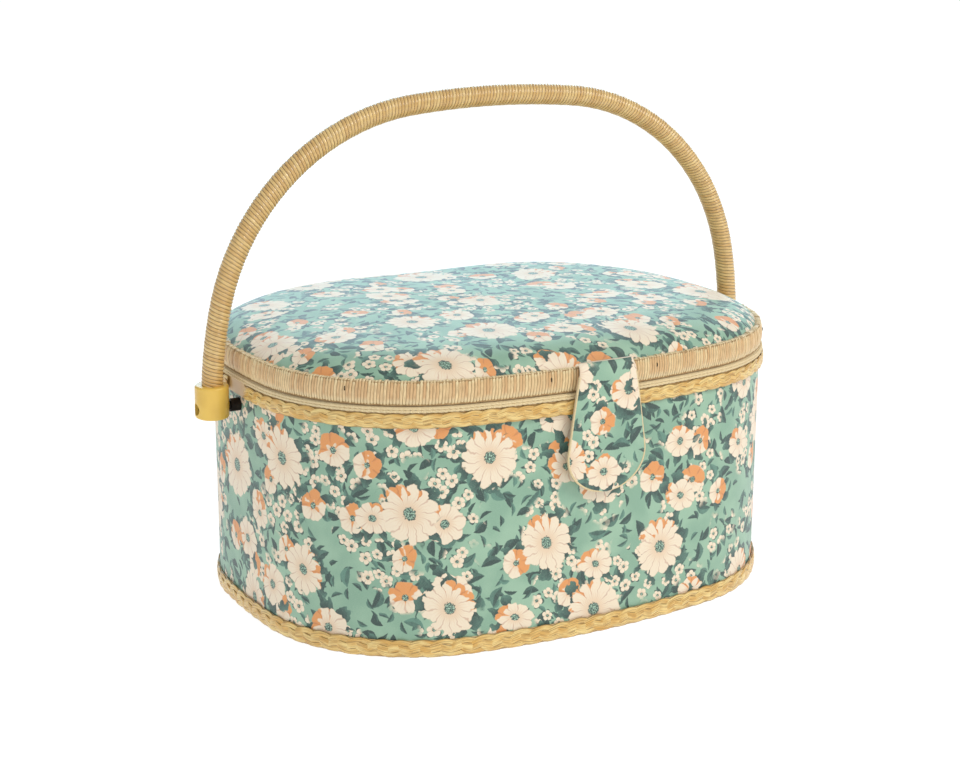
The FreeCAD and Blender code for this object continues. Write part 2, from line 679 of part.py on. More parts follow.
tab_whole = tab_layer("TabWhole", "{tab_y}", "{tab_out_y}")
tab_hollow = tab_layer("TabHollow", "{tab_stiff_y}", "{tab_face_y}", "{tab_margin}")
tab_clasp = rod("ClaspTabDisc", "y", "{clasp_radius}", "-{tab_y}", "-{clasp_tab_y}", z="{clasp_z}")
keep("tab_fabric", cut("TabFabric", tab_whole, tab_hollow))
keep("tab_stiffener", tab_layer("TabStiffener", "{tab_stiff_y}", "{tab_face_y}", "{tab_margin}"))
keep("clasp_tab_disc", tab_clasp)
clasp_ends = ("-{clasp_base_y}", "-{half_width} + {clasp_deep}")
clasp_base_blank = rod("ClaspBaseBlank", "y", "{clasp_radius}", *clasp_ends, z="{clasp_z}")
clasp_trim = oval("ClaspTrim", "{fabric_grow}", "{clasp_z} - {clear_of}", "{clasp_z} + {clear_of}")
keep("clasp_base_disc", cut("ClaspBaseDisc", clasp_base_blank, clasp_trim))

# Trays: moulded tubs with dividers. The lower one hangs by its flange on the ledge, the upper stands on it.


def tray(name, tub_grow, low, high, divider_top, long_divider, flange_low=None, flange_grow=None):
    """A tub with two cross dividers, and with a long divider or a flange where they are asked for."""
    shell = oval(name + "_shell", tub_grow, low, high)
    if flange_low:
        shell = fuse(name + "_rimmed", shell, oval(name + "_flange", flange_grow, flange_low, high))
    inner_grow = f"{tub_grow} - {{tray_wall}}"
    hollow = oval(name + "_hollow", inner_grow, low + " + {tray_floor}", high + " + {over}")
    tub = cut(name + "_tub", shell, hollow)
    bulge = "sqrt(({side_radius} + " + tub_grow + ") ^ 2 - {divider_x} ^ 2) - {side_radius}"
    reach = bulge + " + {half_width} - {let_in}"
    level = (f"{low} + {{tray_floor}} / 2", divider_top)
    half = "{divider} / 2"
    dividers = []
    for word, side in SIDES:
        across = span(side, "{divider_x} - " + half, "{divider_x} + " + half)
        dividers.append(box(f"{name}_cross_{word}", across, (f"-({reach})", reach), level))
    if long_divider:
        end = "({half_length} + " + tub_grow + " - {let_in})"
        dividers.append(box(f"{name}_long", (f"-{end}", end), (f"-{half}", half), level))
    return fuse(name, tub, *dividers)


keep(
    "upper_tray",
    tray(
        "UpperTray",
        "{tray_grow}",
        "{upper_tray_low}",
        "{upper_tray_top}",
        "{divider_top}",
        long_divider=True,
    ),
)
keep(
    "lower_tray",
    tray(
        "LowerTray",
        "{lower_tub_grow}",
        "{lower_tray_low}",
        "{lower_flange_top}",
        "{lower_divider_top}",
        long_divider=False,
        flange_low="{ledge_level}",
        flange_grow="{tray_grow}",
    ),
)

doc.recompute()

failed = [thing.Label for thing in doc.Objects if {"Invalid", "Error"} & set(thing.State)]
if failed:
    raise RuntimeError(f"these objects didn't recompute: {failed}")
for name, thing in nodes.items():
    shape = thing.Shape
    if shape.isNull() or not shape.isValid() or not shape.Solids:
        raise RuntimeError(f"{name} isn't a valid solid")
    if any(solid.Volume <= 0 for solid in shape.Solids):
        raise RuntimeError(f"{name} has a solid with no volume")
for name, thing in nodes.items():
    thing.Shape.exportStep(f"parts/{name}.step")
    box_now = thing.Shape.BoundBox
    print(f"{name:20s} solids {len(thing.Shape.Solids)} volume {thing.Shape.Volume:10.0f} mm3 ", end="")
    print(f"x {box_now.XMin:.1f} {box_now.XMax:.1f} y {box_now.YMin:.1f} {box_now.YMax:.1f} ", end="")
    print(f"z {box_now.ZMin:.1f} {box_now.ZMax:.1f}")
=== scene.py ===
import json
import math

import bmesh
import bpy
import numpy as np
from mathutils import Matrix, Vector


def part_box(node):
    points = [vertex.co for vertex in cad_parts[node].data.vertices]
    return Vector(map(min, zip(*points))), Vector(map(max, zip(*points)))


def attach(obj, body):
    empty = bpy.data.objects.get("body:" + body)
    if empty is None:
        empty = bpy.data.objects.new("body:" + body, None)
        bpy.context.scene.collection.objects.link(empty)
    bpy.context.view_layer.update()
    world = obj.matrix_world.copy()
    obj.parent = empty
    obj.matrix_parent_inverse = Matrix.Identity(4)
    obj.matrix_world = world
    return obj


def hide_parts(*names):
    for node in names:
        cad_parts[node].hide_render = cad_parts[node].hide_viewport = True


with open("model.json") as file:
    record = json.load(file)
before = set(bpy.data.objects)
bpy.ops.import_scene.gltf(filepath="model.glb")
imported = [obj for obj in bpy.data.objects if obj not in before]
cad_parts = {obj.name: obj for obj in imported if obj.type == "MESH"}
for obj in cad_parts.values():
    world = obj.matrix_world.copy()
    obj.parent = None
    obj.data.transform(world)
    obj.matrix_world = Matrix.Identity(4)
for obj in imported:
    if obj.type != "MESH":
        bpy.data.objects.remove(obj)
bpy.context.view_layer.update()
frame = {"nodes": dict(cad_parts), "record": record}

MM = 0.001
STRAND_TURN = 0.0025
TAU = 2 * math.pi

# --- the oval: four large arcs joined by tangent corner arcs, and everything on it is a step in or out ---

SIDE_RADIUS = 0.4648
END_RADIUS = 0.4625
CORNER_RADIUS = 0.10066
HALF_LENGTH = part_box("wall_fabric")[1][0]
HALF_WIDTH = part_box("wall_fabric")[1][1]


def span(node, axis=2):
    """A node's lowest and highest place along an axis at rest."""
    low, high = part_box(node)
    return low[axis], high[axis]


def heading(vector):
    return math.atan2(vector[1], vector[0])


def joined_centres(first, first_away, second, second_away):
    """The two points at these distances from two centres, for an arc that touches both their arcs."""
    across = second - first
    apart = np.hypot(*across)
    along = (first_away**2 - second_away**2 + apart**2) / (2 * apart)
    aside = math.sqrt(first_away**2 - along**2)
    unit = across / apart
    return [first + unit * along + sign * aside * np.array([-unit[1], unit[0]]) for sign in (1, -1)]


def oval_arcs():
    """The first quadrant's three arcs as (end angle of the normal, centre, radius), from +X to +Y."""
    side_centre = np.array([0.0, HALF_WIDTH - SIDE_RADIUS])
    end_centre = np.array([HALF_LENGTH - END_RADIUS, 0.0])
    options = joined_centres(side_centre, SIDE_RADIUS - CORNER_RADIUS, end_centre, END_RADIUS - CORNER_RADIUS)
    corner_centre = max(options, key=lambda point: point.min())
    return (
        (heading(corner_centre - end_centre), end_centre, END_RADIUS),
        (heading(corner_centre - side_centre), corner_centre, CORNER_RADIUS),
        (math.pi / 2, side_centre, SIDE_RADIUS),
    )


ARCS = oval_arcs()


def at_normal(angle):
    """The outline's points and radii where its outward normal has these angles."""
    angle = np.asarray(angle, float)
    normal = np.stack([np.cos(angle), np.sin(angle)], -1)
    folded = np.arctan2(np.abs(normal[..., 1]), np.abs(normal[..., 0]))
    centre = np.zeros_like(normal)
    radius = np.zeros_like(angle)
    begin = -1.0
    for end, middle, size in ARCS:
        here = (folded > begin) & (folded <= end + 1e-9)
        centre[here] = middle
        radius[here] = size
        begin = end
    return centre * np.sign(normal) + normal * radius[..., None], normal, radius


_angles = np.linspace(0, TAU, 20001)
_radii = at_normal((_angles[1:] + _angles[:-1]) / 2)[2]
_lengths = np.concatenate([[0], np.cumsum(_radii * np.diff(_angles))])
PERIMETER = float(_lengths[-1])
BACK, FRONT = PERIMETER * 0.25, PERIMETER * 0.75


def around(distance):
    """Points and normals of the outline at distances along it, from the +X end and towards +Y."""
    angle = np.interp(np.asarray(distance) % PERIMETER, _lengths, _angles)
    point, normal, _ = at_normal(angle)
    return point, normal


def round_angles(count):
    return np.linspace(0, TAU, count, endpoint=False)


def round_section(grow, level, radius, sides):
    """A round profile for ring_piece."""
    return [(grow + radius * math.cos(a), level + radius * math.sin(a)) for a in round_angles(sides)]


# --- pieces ---


def grid_piece(name, points, uv=None, wrap_rows=False, wrap_columns=False, caps=False):
    """A mesh from a grid of points (rows, columns, 3). uv has one more row or column where it wraps."""
    points = np.asarray(points, float)
    rows, columns = points.shape[:2]
    mesh = bpy.data.meshes.new(name)
    faces, corners = [], []
    for row in range(rows if wrap_rows else rows - 1):
        for column in range(columns if wrap_columns else columns - 1):
            quad = ((row, column), (row, column + 1), (row + 1, column + 1), (row + 1, column))
            faces.append([(r % rows) * columns + c % columns for r, c in quad])
            corners.extend(quad)
    count = len(faces)
    if caps:
        for row in (0, rows - 1):
            order = range(columns - 1, -1, -1) if row == 0 else range(columns)
            faces.append([row * columns + column for column in order])
    mesh.from_pydata(points.reshape(-1, 3).tolist(), [], faces)
    layer = mesh.uv_layers.new(name="cloth")
    if uv is not None:
        values = np.zeros((len(mesh.loops), 2))
        where = np.array(corners)
        values[: 4 * count] = np.asarray(uv)[where[:, 0], where[:, 1]]
        layer.data.foreach_set("uv", values.ravel())
    mesh.polygons.foreach_set("use_smooth", [True] * len(mesh.polygons))
    mesh.update()
    piece = bpy.data.objects.new(name, mesh)
    bpy.context.scene.collection.objects.link(piece)
    return piece


def face_outwards(piece):
    """Turns a closed piece's faces outwards."""
    work = bmesh.new()
    work.from_mesh(piece.data)
    bmesh.ops.recalc_face_normals(work, faces=work.faces)
    work.to_mesh(piece.data)
    work.free()


def swept_piece(name, rows, uv=None):
    """A closed tube: each row of points runs its whole length, and the rows go round its section."""
    piece = grid_piece(name, rows, uv, wrap_rows=True)
    close_ends(piece, *np.shape(rows)[:2])
    face_outwards(piece)
    return piece


def closed_piece(name, loops, uv):
    """A closed piece from loops of points, capped at the first and the last."""
    piece = grid_piece(name, loops, uv, wrap_columns=True, caps=True)
    face_outwards(piece)
    return piece


def ring_piece(name, profile, columns, start=0.0, end=None, ripple=None):
    """A closed profile of (step out, height) carried round the oval, or along a stretch of it.

    ripple(distance, row) gives what is added to the step out and the height at each point.
    """
    whole = end is None
    distance = np.linspace(start, PERIMETER + start if whole else end, columns, endpoint=not whole)
    point, normal = around(distance)
    grow = np.array([p[0] for p in profile])[:, None] + np.zeros((1, columns))
    level = np.array([p[1] for p in profile])[:, None] + np.zeros((1, columns))
    if ripple:
        more_grow, more_level = ripple(distance[None, :], np.arange(len(profile))[:, None])
        grow = grow + more_grow
        level = level + more_level
    xy = point[None] + normal[None] * grow[..., None]
    points = np.concatenate([xy, level[..., None]], -1)
    steps = [math.dist(a, b) for a, b in zip(profile, profile[1:] + profile[:1])]
    lengths = np.concatenate([[0], np.cumsum(steps)])
    edge = np.append(distance, PERIMETER + start) if whole else distance
    uv = np.stack(np.meshgrid(edge, lengths), -1)
    piece = grid_piece(name, points, uv, wrap_rows=True, wrap_columns=whole)
    if not whole:
        close_ends(piece, len(profile), columns)
    face_outwards(piece)
    return piece


def close_ends(piece, rows, columns):
    """Closes the two ends of a swept profile."""
    work = bmesh.new()
    work.from_mesh(piece.data)
    work.verts.ensure_lookup_table()
    for column in (0, columns - 1):
        work.faces.new([work.verts[row * columns + column] for row in range(rows)])
    work.to_mesh(piece.data)
    work.free()


def soft_noise(u, v, seed, waves=7):
    """Smooth seeded ups and downs of about one unit over a plane whose features are about one unit across."""
    chance = np.random.default_rng(seed)
    total = 0
    for _ in range(waves):
        direction = chance.uniform(0, TAU)
        pace = chance.uniform(0.5, 1.6) * TAU * 0.5
        travelled = u * math.cos(direction) + v * math.sin(direction)
        total = total + np.sin(travelled * pace + chance.uniform(0, TAU))
    return total / math.sqrt(waves)


# --- materials ---


class Graph:
    """Short ways to add nodes to a material or group."""

    def __init__(self, tree):
        self.tree = tree

    def node(self, kind, **settings):
        node = self.tree.nodes.new("ShaderNode" + kind)
        for name, setting in settings.items():
            setattr(node, name, setting)
        return node

    def feed(self, socket, source):
        if isinstance(source, bpy.types.NodeSocket):
            self.tree.links.new(source, socket)
        else:
            socket.default_value = source

    def wired(self, kind, **inputs):
        node = self.node(kind)
        for name, source in inputs.items():
            self.feed(node.inputs[name], source)
        return node

    def math(self, operation, first, second=0.0, third=0.0, clamp=False):
        node = self.node("Math", operation=operation, use_clamp=clamp)
        for socket, source in zip(node.inputs, (first, second, third)):
            self.feed(socket, source)
        return node.outputs[0]

    def times(self, first, second, clamp=False):
        return self.math("MULTIPLY", first, second, clamp=clamp)

    def plus(self, first, second):
        return self.math("ADD", first, second)

    def minus(self, first, second):
        return self.math("SUBTRACT", first, second)

    def scaled(self, value, factor, more):
        return self.math("MULTIPLY_ADD", value, factor, more)

    def mix(self, factor, low, high):
        node = self.node("Mix", data_type="RGBA")
        self.feed(node.inputs["Factor"], factor)
        for name, source in (("A", low), ("B", high)):
            socket = next(s for s in node.inputs if s.name == name and s.type == "RGBA")
            self.feed(socket, (*source, 1.0) if isinstance(source, tuple) else source)
        return next(s for s in node.outputs if s.type == "RGBA")

    def ramp(self, value, low, high, bottom=0.0, top=1.0):
        node = self.node("MapRange", interpolation_type="SMOOTHSTEP")
        for number, source in enumerate((value, low, high, bottom, top)):
            self.feed(node.inputs[number], source)
        return node.outputs[0]

    def noise(self, vector, scale, detail=2.0, roughness=0.5):
        node = self.wired("TexNoise", Vector=vector, Scale=scale, Detail=detail, Roughness=roughness)
        return node.outputs["Fac"]

    def placed(self, vector, scale=(1, 1, 1), turn=0.0, shift=(0, 0, 0)):
        node = self.wired("Mapping", Vector=vector, Scale=scale, Rotation=(0, 0, turn), Location=shift)
        return node.outputs[0]

    def parts(self, vector):
        node = self.node("SeparateXYZ")
        self.feed(node.inputs[0], vector)
        return node.outputs[0], node.outputs[1], node.outputs[2]


def colour(hexadecimal):
    """Linear colour of an sRGB code."""
    channels = [int(hexadecimal[i : i + 2], 16) / 255 for i in (0, 2, 4)]
    return tuple(c / 12.92 if c <= 0.04045 else ((c + 0.055) / 1.055) ** 2.4 for c in channels)


def new_material(name, roughness=0.6, sheen=0.0, coat=0.0, specular=0.5, metallic=0.0):
    material = bpy.data.materials.new(name)
    material.use_nodes = True
    graph = Graph(material.node_tree)
    shader = next(n for n in material.node_tree.nodes if n.type == "BSDF_PRINCIPLED")
    for socket, value in (
        ("Roughness", roughness),
        ("Sheen Weight", sheen),
        ("Sheen Roughness", 0.45),
        ("Coat Weight", coat),
        ("Coat Roughness", 0.28),
        ("Specular IOR Level", specular),
        ("Metallic", metallic),
    ):
        shader.inputs[socket].default_value = value
    return material, graph, shader


def bump(graph, shader, height, distance, strength=1.0):
    node = graph.wired("Bump", Strength=strength, Distance=distance, Height=height)
    graph.feed(shader.inputs["Normal"], node.outputs[0])


def surface_mm(graph):
    """The piece's cloth coordinates, in millimetres."""
    uv = graph.node("UVMap", uv_map="cloth").outputs[0]
    return graph.placed(uv, scale=(1 / MM, 1 / MM, 1))


def object_mm(graph):
    return graph.placed(graph.node("TexCoord").outputs["Object"], scale=(1 / MM, 1 / MM, 1 / MM))


def two_tone(graph, shader, value, low, high, first, second):
    """A base colour that goes from one sRGB code to another as a value goes from low to high."""
    tone = graph.mix(graph.ramp(value, low, high), colour(first), colour(second))
    graph.feed(shader.inputs["Base Color"], tone)


def scattered(graph, place, cell, jitter, turn, shift):
    """Repeats of a motif: a point's place from the nearest one's middle, in mm, and its three chances."""
    moved = graph.placed(place, scale=(1 / cell, 1 / cell, 1), turn=turn, shift=shift)
    cells = graph.node("TexVoronoi", voronoi_dimensions="2D")
    graph.feed(cells.inputs["Vector"], moved)
    cells.inputs["Scale"].default_value = 1.0
    cells.inputs["Randomness"].default_value = jitter
    away = graph.node("VectorMath", operation="SUBTRACT")
    graph.feed(away.inputs[0], moved)
    graph.feed(away.inputs[1], cells.outputs["Position"])
    x, y, _ = graph.parts(away.outputs[0])
    chances = graph.parts(cells.outputs["Color"])
    return graph.times(x, cell), graph.times(y, cell), chances


CREAM = colour("f2e0c4")
PETAL_SHADE = colour("e2ba92")
ORANGE = colour("e6984f")
RUST = colour("a9572f")
GROUND = colour("98bc9f")
GROUND_DEEP = colour("84ab90")
DARK_LEAF = colour("1f4037")
MID_LEAF = colour("5b8976")
PALE_LEAF = colour("a8cbb0")


def polar(graph, x, y, squash, size):
    """How far a point lies from a motif's middle, as a share of its size, and its direction."""
    tall = graph.times(y, squash)
    square = graph.plus(graph.times(x, x), graph.times(tall, tall))
    return graph.math("DIVIDE", graph.math("SQRT", square), size), graph.math("ARCTAN2", tall, x)


def petal_wave(graph, angle, count):
    """1 along the middle of each of count petals, 0 between two of them."""
    return graph.math("ABSOLUTE", graph.math("COSINE", graph.times(angle, count / 2)))


def leaf_crown(graph, under, reach, angle, chance, count, long):
    """Pointed leaves reaching out from under a flower, on the side where its chance puts them."""
    turned = graph.scaled(chance, TAU, angle)
    wave = petal_wave(graph, turned, count)
    tip = graph.scaled(graph.math("POWER", wave, 1.5), long, 0.75)
    facing = graph.math("COSINE", graph.scaled(chance, 17.0, angle))
    also = graph.math("COSINE", graph.scaled(chance, 41.0, graph.times(angle, 2.0)))
    there = graph.ramp(graph.plus(facing, graph.times(also, 0.8)), 0.05, 0.2)
    mask = graph.times(graph.ramp(graph.minus(tip, reach), 0.0, 0.04), there)
    half = graph.math("LESS_THAN", graph.math("SINE", graph.times(turned, count)), 0.0)
    tone = graph.plus(graph.ramp(reach, 0.9, 1.0 + long), graph.times(half, 0.22))
    body = graph.mix(graph.times(tone, 0.8, clamp=True), DARK_LEAF, MID_LEAF)
    return graph.mix(mask, under, body)


def flower(
    graph, under, place, cell, jitter, turn, shift, radius, petals, depth, orange, present, middle, crown
):
    """Lays scattered flowers over a colour: leaves behind, petals with a warm side, a speckled green eye."""
    x, y, (chance_a, chance_b, chance_c) = scattered(graph, place, cell, jitter, turn, shift)
    wobble = graph.minus(graph.noise(place, 0.13, 2.0), 0.5)
    fuzz = graph.minus(graph.noise(place, 0.9, 2.0), 0.5)
    size = graph.scaled(chance_b, radius * 0.25, radius * 0.84)
    squash = graph.scaled(chance_a, 0.45, 0.9)
    reach, bearing = polar(graph, x, y, squash, size)
    here = graph.math("LESS_THAN", chance_c, present)
    laid = leaf_crown(graph, under, reach, graph.plus(bearing, wobble), chance_a, *crown)
    angle = graph.scaled(chance_a, TAU, graph.scaled(wobble, 0.7, bearing))
    wave = petal_wave(graph, angle, petals)
    edge = graph.scaled(graph.math("POWER", wave, 0.5), depth, 1.0 - depth)
    edge = graph.plus(edge, graph.scaled(wobble, 0.55, graph.times(fuzz, 0.10)))
    inside = graph.minus(edge, reach)
    mask = graph.ramp(inside, 0.0, 0.045)
    seam = graph.times(graph.ramp(wave, 0.34, 0.02), graph.ramp(reach, 0.28, 0.6))
    fine = graph.ramp(petal_wave(graph, angle, petals * 3), 0.6, 0.0)
    fine = graph.times(fine, graph.ramp(reach, 0.95, 0.3))
    petal = graph.mix(graph.times(fine, 0.45), CREAM, PETAL_SHADE)
    petal = graph.mix(graph.times(graph.ramp(reach, 0.62, 0.15), 0.55), petal, PETAL_SHADE)
    lean = graph.scaled(chance_b, 2.6, 1.2)
    side = graph.times(graph.math("COSINE", graph.minus(bearing, lean)), reach)
    side = graph.plus(side, graph.scaled(wobble, 1.6, graph.times(wave, -0.42)))
    petal = graph.mix(graph.ramp(side, 0.56 - orange, 0.66 - orange), petal, ORANGE)
    petal = graph.mix(graph.times(seam, 0.38), petal, RUST if orange > -0.2 else MID_LEAF)
    petal = graph.mix(graph.ramp(inside, 0.07, 0.0, 0.0, 0.5), petal, PETAL_SHADE)
    laid = graph.mix(mask, laid, petal)
    eye = graph.ramp(graph.plus(reach, graph.times(fuzz, 0.2)), middle, middle * 0.8)
    eye = graph.times(eye, mask)
    speckle = graph.ramp(graph.noise(place, 1.1, 2.0, 0.7), 0.44, 0.60)
    speckle = graph.times(speckle, graph.ramp(reach, middle * 0.92, middle * 0.70))
    laid = graph.mix(eye, laid, graph.mix(speckle, DARK_LEAF, PALE_LEAF))
    return graph.mix(here, under, laid)


def leaves(graph, under, place, cell, jitter, turn, shift, length, width, dark, present):
    """Lays scattered pointed leaves, darker in one half, over a colour."""
    x, y, (chance_a, chance_b, chance_c) = scattered(graph, place, cell, jitter, turn, shift)
    angle = graph.times(chance_a, TAU)
    cosine, sine = graph.math("COSINE", angle), graph.math("SINE", angle)
    along = graph.plus(graph.times(x, cosine), graph.times(y, sine))
    across = graph.minus(graph.times(y, cosine), graph.times(x, sine))
    across = graph.plus(across, graph.times(graph.times(along, along), 0.35 / length))
    share = graph.math("DIVIDE", along, length)
    room = graph.times(graph.minus(1.0, graph.times(share, share)), width)
    ragged = graph.scaled(graph.noise(place, 0.7, 2.0), 0.9, -0.45)
    clear = graph.minus(graph.plus(room, ragged), graph.math("ABSOLUTE", across))
    mask = graph.times(graph.ramp(clear, 0.0, 0.5), graph.math("LESS_THAN", chance_c, present))
    tone = graph.scaled(chance_b, 0.45, graph.times(graph.noise(place, 0.25, 3.0), 0.5))
    tone = graph.plus(tone, graph.ramp(across, -0.25, 0.25, -0.1, 0.14))
    body = graph.mix(graph.ramp(tone, 0.2 + dark * 0.4, 0.85 + dark * 0.4), DARK_LEAF, MID_LEAF)
    return graph.mix(mask, under, body)


def floral_group():
    """The print: leaves, blossom sprays, round flowers and large daisies over a mottled green ground."""
    group = bpy.data.node_groups.new("floral_print", "ShaderNodeTree")
    group.interface.new_socket("Place", in_out="INPUT", socket_type="NodeSocketVector")
    group.interface.new_socket("Color", in_out="OUTPUT", socket_type="NodeSocketColor")
    graph = Graph(group)
    place = graph.tree.nodes.new("NodeGroupInput").outputs[0]
    shade = graph.mix(graph.ramp(graph.noise(place, 0.04, 2.0), 0.35, 0.65), GROUND, GROUND_DEEP)
    for cell, turn, *kind in (
        (13.0, 2.1, (1.3, 5.9, 0), 5.4, 2.5, 0.8, 0.50),
        (10.0, 0.4, (3.1, 7.7, 0), 4.6, 1.4, 0.25, 0.68),
        (9.0, 1.2, (9.4, 2.2, 0), 3.8, 1.6, 0.0, 0.50),
        (16.0, 0.9, (6.8, 4.4, 0), 6.6, 3.1, 0.1, 0.62),
    ):
        shade = leaves(graph, shade, place, cell, 0.8, turn, *kind)
    spray = flower(graph, shade, place, 9.6, 0.7, 0.7, (4.5, 8.8, 0), 4.1, 5, 0.34, -0.5, 1.0, 0.3, (5, 0.5))
    bunch = graph.ramp(graph.noise(graph.placed(place, shift=(40, 17, 0)), 0.03, 1.0), 0.48, 0.53)
    shade = graph.mix(bunch, shade, spray)
    for kind in (
        (33.0, 0.55, 1.9, (2.2, 6.1, 0), 9.2, 5, 0.12, 0.85, 0.66, 0.22, (6, 0.8)),
        (43.0, 0.5, 0.35, (7.7, 1.5, 0), 12.0, 8, 0.15, 0.2, 0.6, 0.24, (7, 0.8)),
        (60.0, 0.4, 1.05, (5.3, 3.6, 0), 18.5, 13, 0.17, 0.12, 0.66, 0.23, (9, 0.6)),
    ):
        shade = flower(graph, shade, place, *kind)
    output = graph.tree.nodes.new("NodeGroupOutput")
    graph.tree.links.new(shade, output.inputs[0])
    return group


def weave_height(graph, place, pitch):
    """Threads over and under, for the bump of a plain weave."""
    x, y, _ = graph.parts(place)
    over = graph.math("SINE", graph.times(x, TAU / pitch))
    under = graph.math("SINE", graph.times(y, TAU / pitch))
    return graph.times(over, under)


def floral_cloth():
    material, graph, shader = new_material("floral_cloth", roughness=0.44, sheen=0.12, specular=0.55)
    place = surface_mm(graph)
    print_node = graph.node("Group", node_tree=floral_group())
    graph.feed(print_node.inputs[0], place)
    thread = graph.noise(graph.placed(place, scale=(1, 6, 1)), 0.9, 3.0, 0.7)
    worn = graph.times(graph.ramp(thread, 0.35, 0.75), 0.10)
    graph.feed(shader.inputs["Base Color"], graph.mix(worn, print_node.outputs[0], colour("ffffff")))
    shader.inputs["Sheen Tint"].default_value = (*colour("dfeaff"), 1.0)
    bump(graph, shader, weave_height(graph, place, 0.62), 0.00006, 0.6)
    return material


def plain_cloth(name, light, deep, pitch=0.8):
    material, graph, shader = new_material(name, roughness=0.8, sheen=0.3, specular=0.3)
    place = surface_mm(graph)
    thread = graph.noise(graph.placed(place, scale=(1, 7, 1)), 0.8, 4.0, 0.7)
    cross = graph.noise(graph.placed(place, scale=(7, 1, 1)), 0.8, 4.0, 0.7)
    tone = graph.times(graph.plus(thread, cross), 0.5)
    two_tone(graph, shader, tone, 0.38, 0.62, deep, light)
    bump(graph, shader, weave_height(graph, place, pitch), 0.00012, 0.8)
    return material


def straw(name="straw", light="f6d98f", middle="dfae58", deep="8f5f24", painted_edge_shade=True):
    """Dried straw: long fibres along the strand, uneven gold, and painted shade where a strand's edge turns
    under.

    U counts along the strand, and V round it, with one turn every TAU times STRAND_TURN.
    """
    material, graph, shader = new_material(name, roughness=0.34, coat=0.25)
    place = surface_mm(graph)
    fibre = graph.noise(graph.placed(place, scale=(0.06, 2.2, 1)), 1.0, 4.0, 0.7)
    patch = graph.noise(graph.placed(place, scale=(0.5, 1.6, 1)), 0.16, 3.0)
    tone = graph.mix(graph.ramp(patch, 0.32, 0.68), colour(middle), colour(light))
    tone = graph.mix(graph.ramp(fibre, 0.56, 0.36, 0.0, 0.75), tone, colour(deep))
    if painted_edge_shade:
        # Painted shade: a dark brown line along each strand's edges, where the crevices between the strands
        # are shaded.
        _, turn, _ = graph.parts(place)
        edge = graph.math("ABSOLUTE", graph.math("COSINE", graph.math("DIVIDE", turn, STRAND_TURN / MM)))
        tone = graph.mix(graph.ramp(edge, 0.86, 1.0, 0.0, 0.6), tone, colour("6b451a"))
    graph.feed(shader.inputs["Base Color"], tone)
    graph.feed(shader.inputs["Roughness"], graph.ramp(fibre, 0.3, 0.7, 0.50, 0.26))
    bump(graph, shader, fibre, 0.0003, 0.7)
    return material


def wound_strand(name, light, middle, deep, pitch, along_v, roughness=0.34, coat=0.3, pale_ends=None):
    """Wound strands: a colour of each turn's own, fine fibres along it and a dark line of painted shade where
    two turns meet.

    pale_ends gives the two heights, in mm, between which upright strands run from pale to pale.
    """
    material, graph, shader = new_material(name, roughness=roughness, coat=coat)
    place = surface_mm(graph)
    across, along, _ = graph.parts(place)
    turns = graph.math("DIVIDE", across, pitch)
    own = graph.node("TexWhiteNoise", noise_dimensions="1D")
    graph.feed(own.inputs["W"], graph.math("FLOOR", turns))
    share = graph.math("FRACT", turns)
    seam = graph.math("ABSOLUTE", graph.scaled(share, 2.0, -1.0))
    fibre = graph.noise(graph.placed(place, scale=(3.4, along_v, 1)), 1.0, 3.0, 0.6)
    base = graph.mix(graph.scaled(own.outputs["Value"], 0.9, 0.05), colour(middle), colour(light))
    if pale_ends:
        bottom, top = pale_ends
        waver = graph.scaled(own.outputs["Value"], 2.2, along)
        ends = graph.plus(graph.ramp(waver, bottom + 4.5, bottom + 1.0), graph.ramp(waver, top - 2.0, top))
        base = graph.mix(graph.times(ends, 0.75, clamp=True), base, colour("f2dfb0"))
    base = graph.mix(graph.ramp(fibre, 0.60, 0.30, 0.0, 0.5), base, colour(deep))
    # Painted shade: the deep colour along the groove where two turns meet, standing in for its shadow.
    base = graph.mix(graph.ramp(seam, 0.66, 1.0, 0.0, 0.8), base, colour(deep))
    graph.feed(shader.inputs["Base Color"], base)
    graph.feed(shader.inputs["Roughness"], graph.ramp(fibre, 0.3, 0.7, roughness + 0.16, roughness - 0.04))
    bump(graph, shader, fibre, 0.00018, 0.7)
    return material


def moulded(name, light, deep, roughness=0.35, coat=0.2):
    material, graph, shader = new_material(name, roughness=roughness, coat=coat)
    place = object_mm(graph)
    cloud = graph.noise(place, 0.05, 3.0)
    grain = graph.noise(place, 1.6, 2.0)
    two_tone(graph, shader, cloud, 0.3, 0.7, deep, light)
    graph.feed(shader.inputs["Roughness"], graph.ramp(cloud, 0.3, 0.7, roughness - 0.05, roughness + 0.08))
    bump(graph, shader, grain, 0.00005, 0.4)
    return material


def metal(name, light, deep, roughness=0.3):
    material, graph, shader = new_material(name, roughness=roughness, metallic=1.0)
    place = object_mm(graph)
    brushed = graph.noise(graph.placed(place, scale=(0.2, 6, 6)), 1.0, 3.0, 0.7)
    tarnish = graph.noise(place, 0.12, 4.0)
    two_tone(graph, shader, tarnish, 0.35, 0.8, light, deep)
    graph.feed(shader.inputs["Roughness"], graph.ramp(tarnish, 0.3, 0.75, roughness, roughness + 0.12))
    bump(graph, shader, brushed, 0.00004, 0.4)
    return material


def board():
    material, graph, shader = new_material("fibreboard", roughness=0.85)
    place = object_mm(graph)
    fibre = graph.noise(graph.placed(place, scale=(0.5, 0.5, 2.0)), 0.9, 5.0, 0.75)
    two_tone(graph, shader, fibre, 0.35, 0.65, "8f7048", "b8976a")
    bump(graph, shader, fibre, 0.0002, 0.5)
    return material


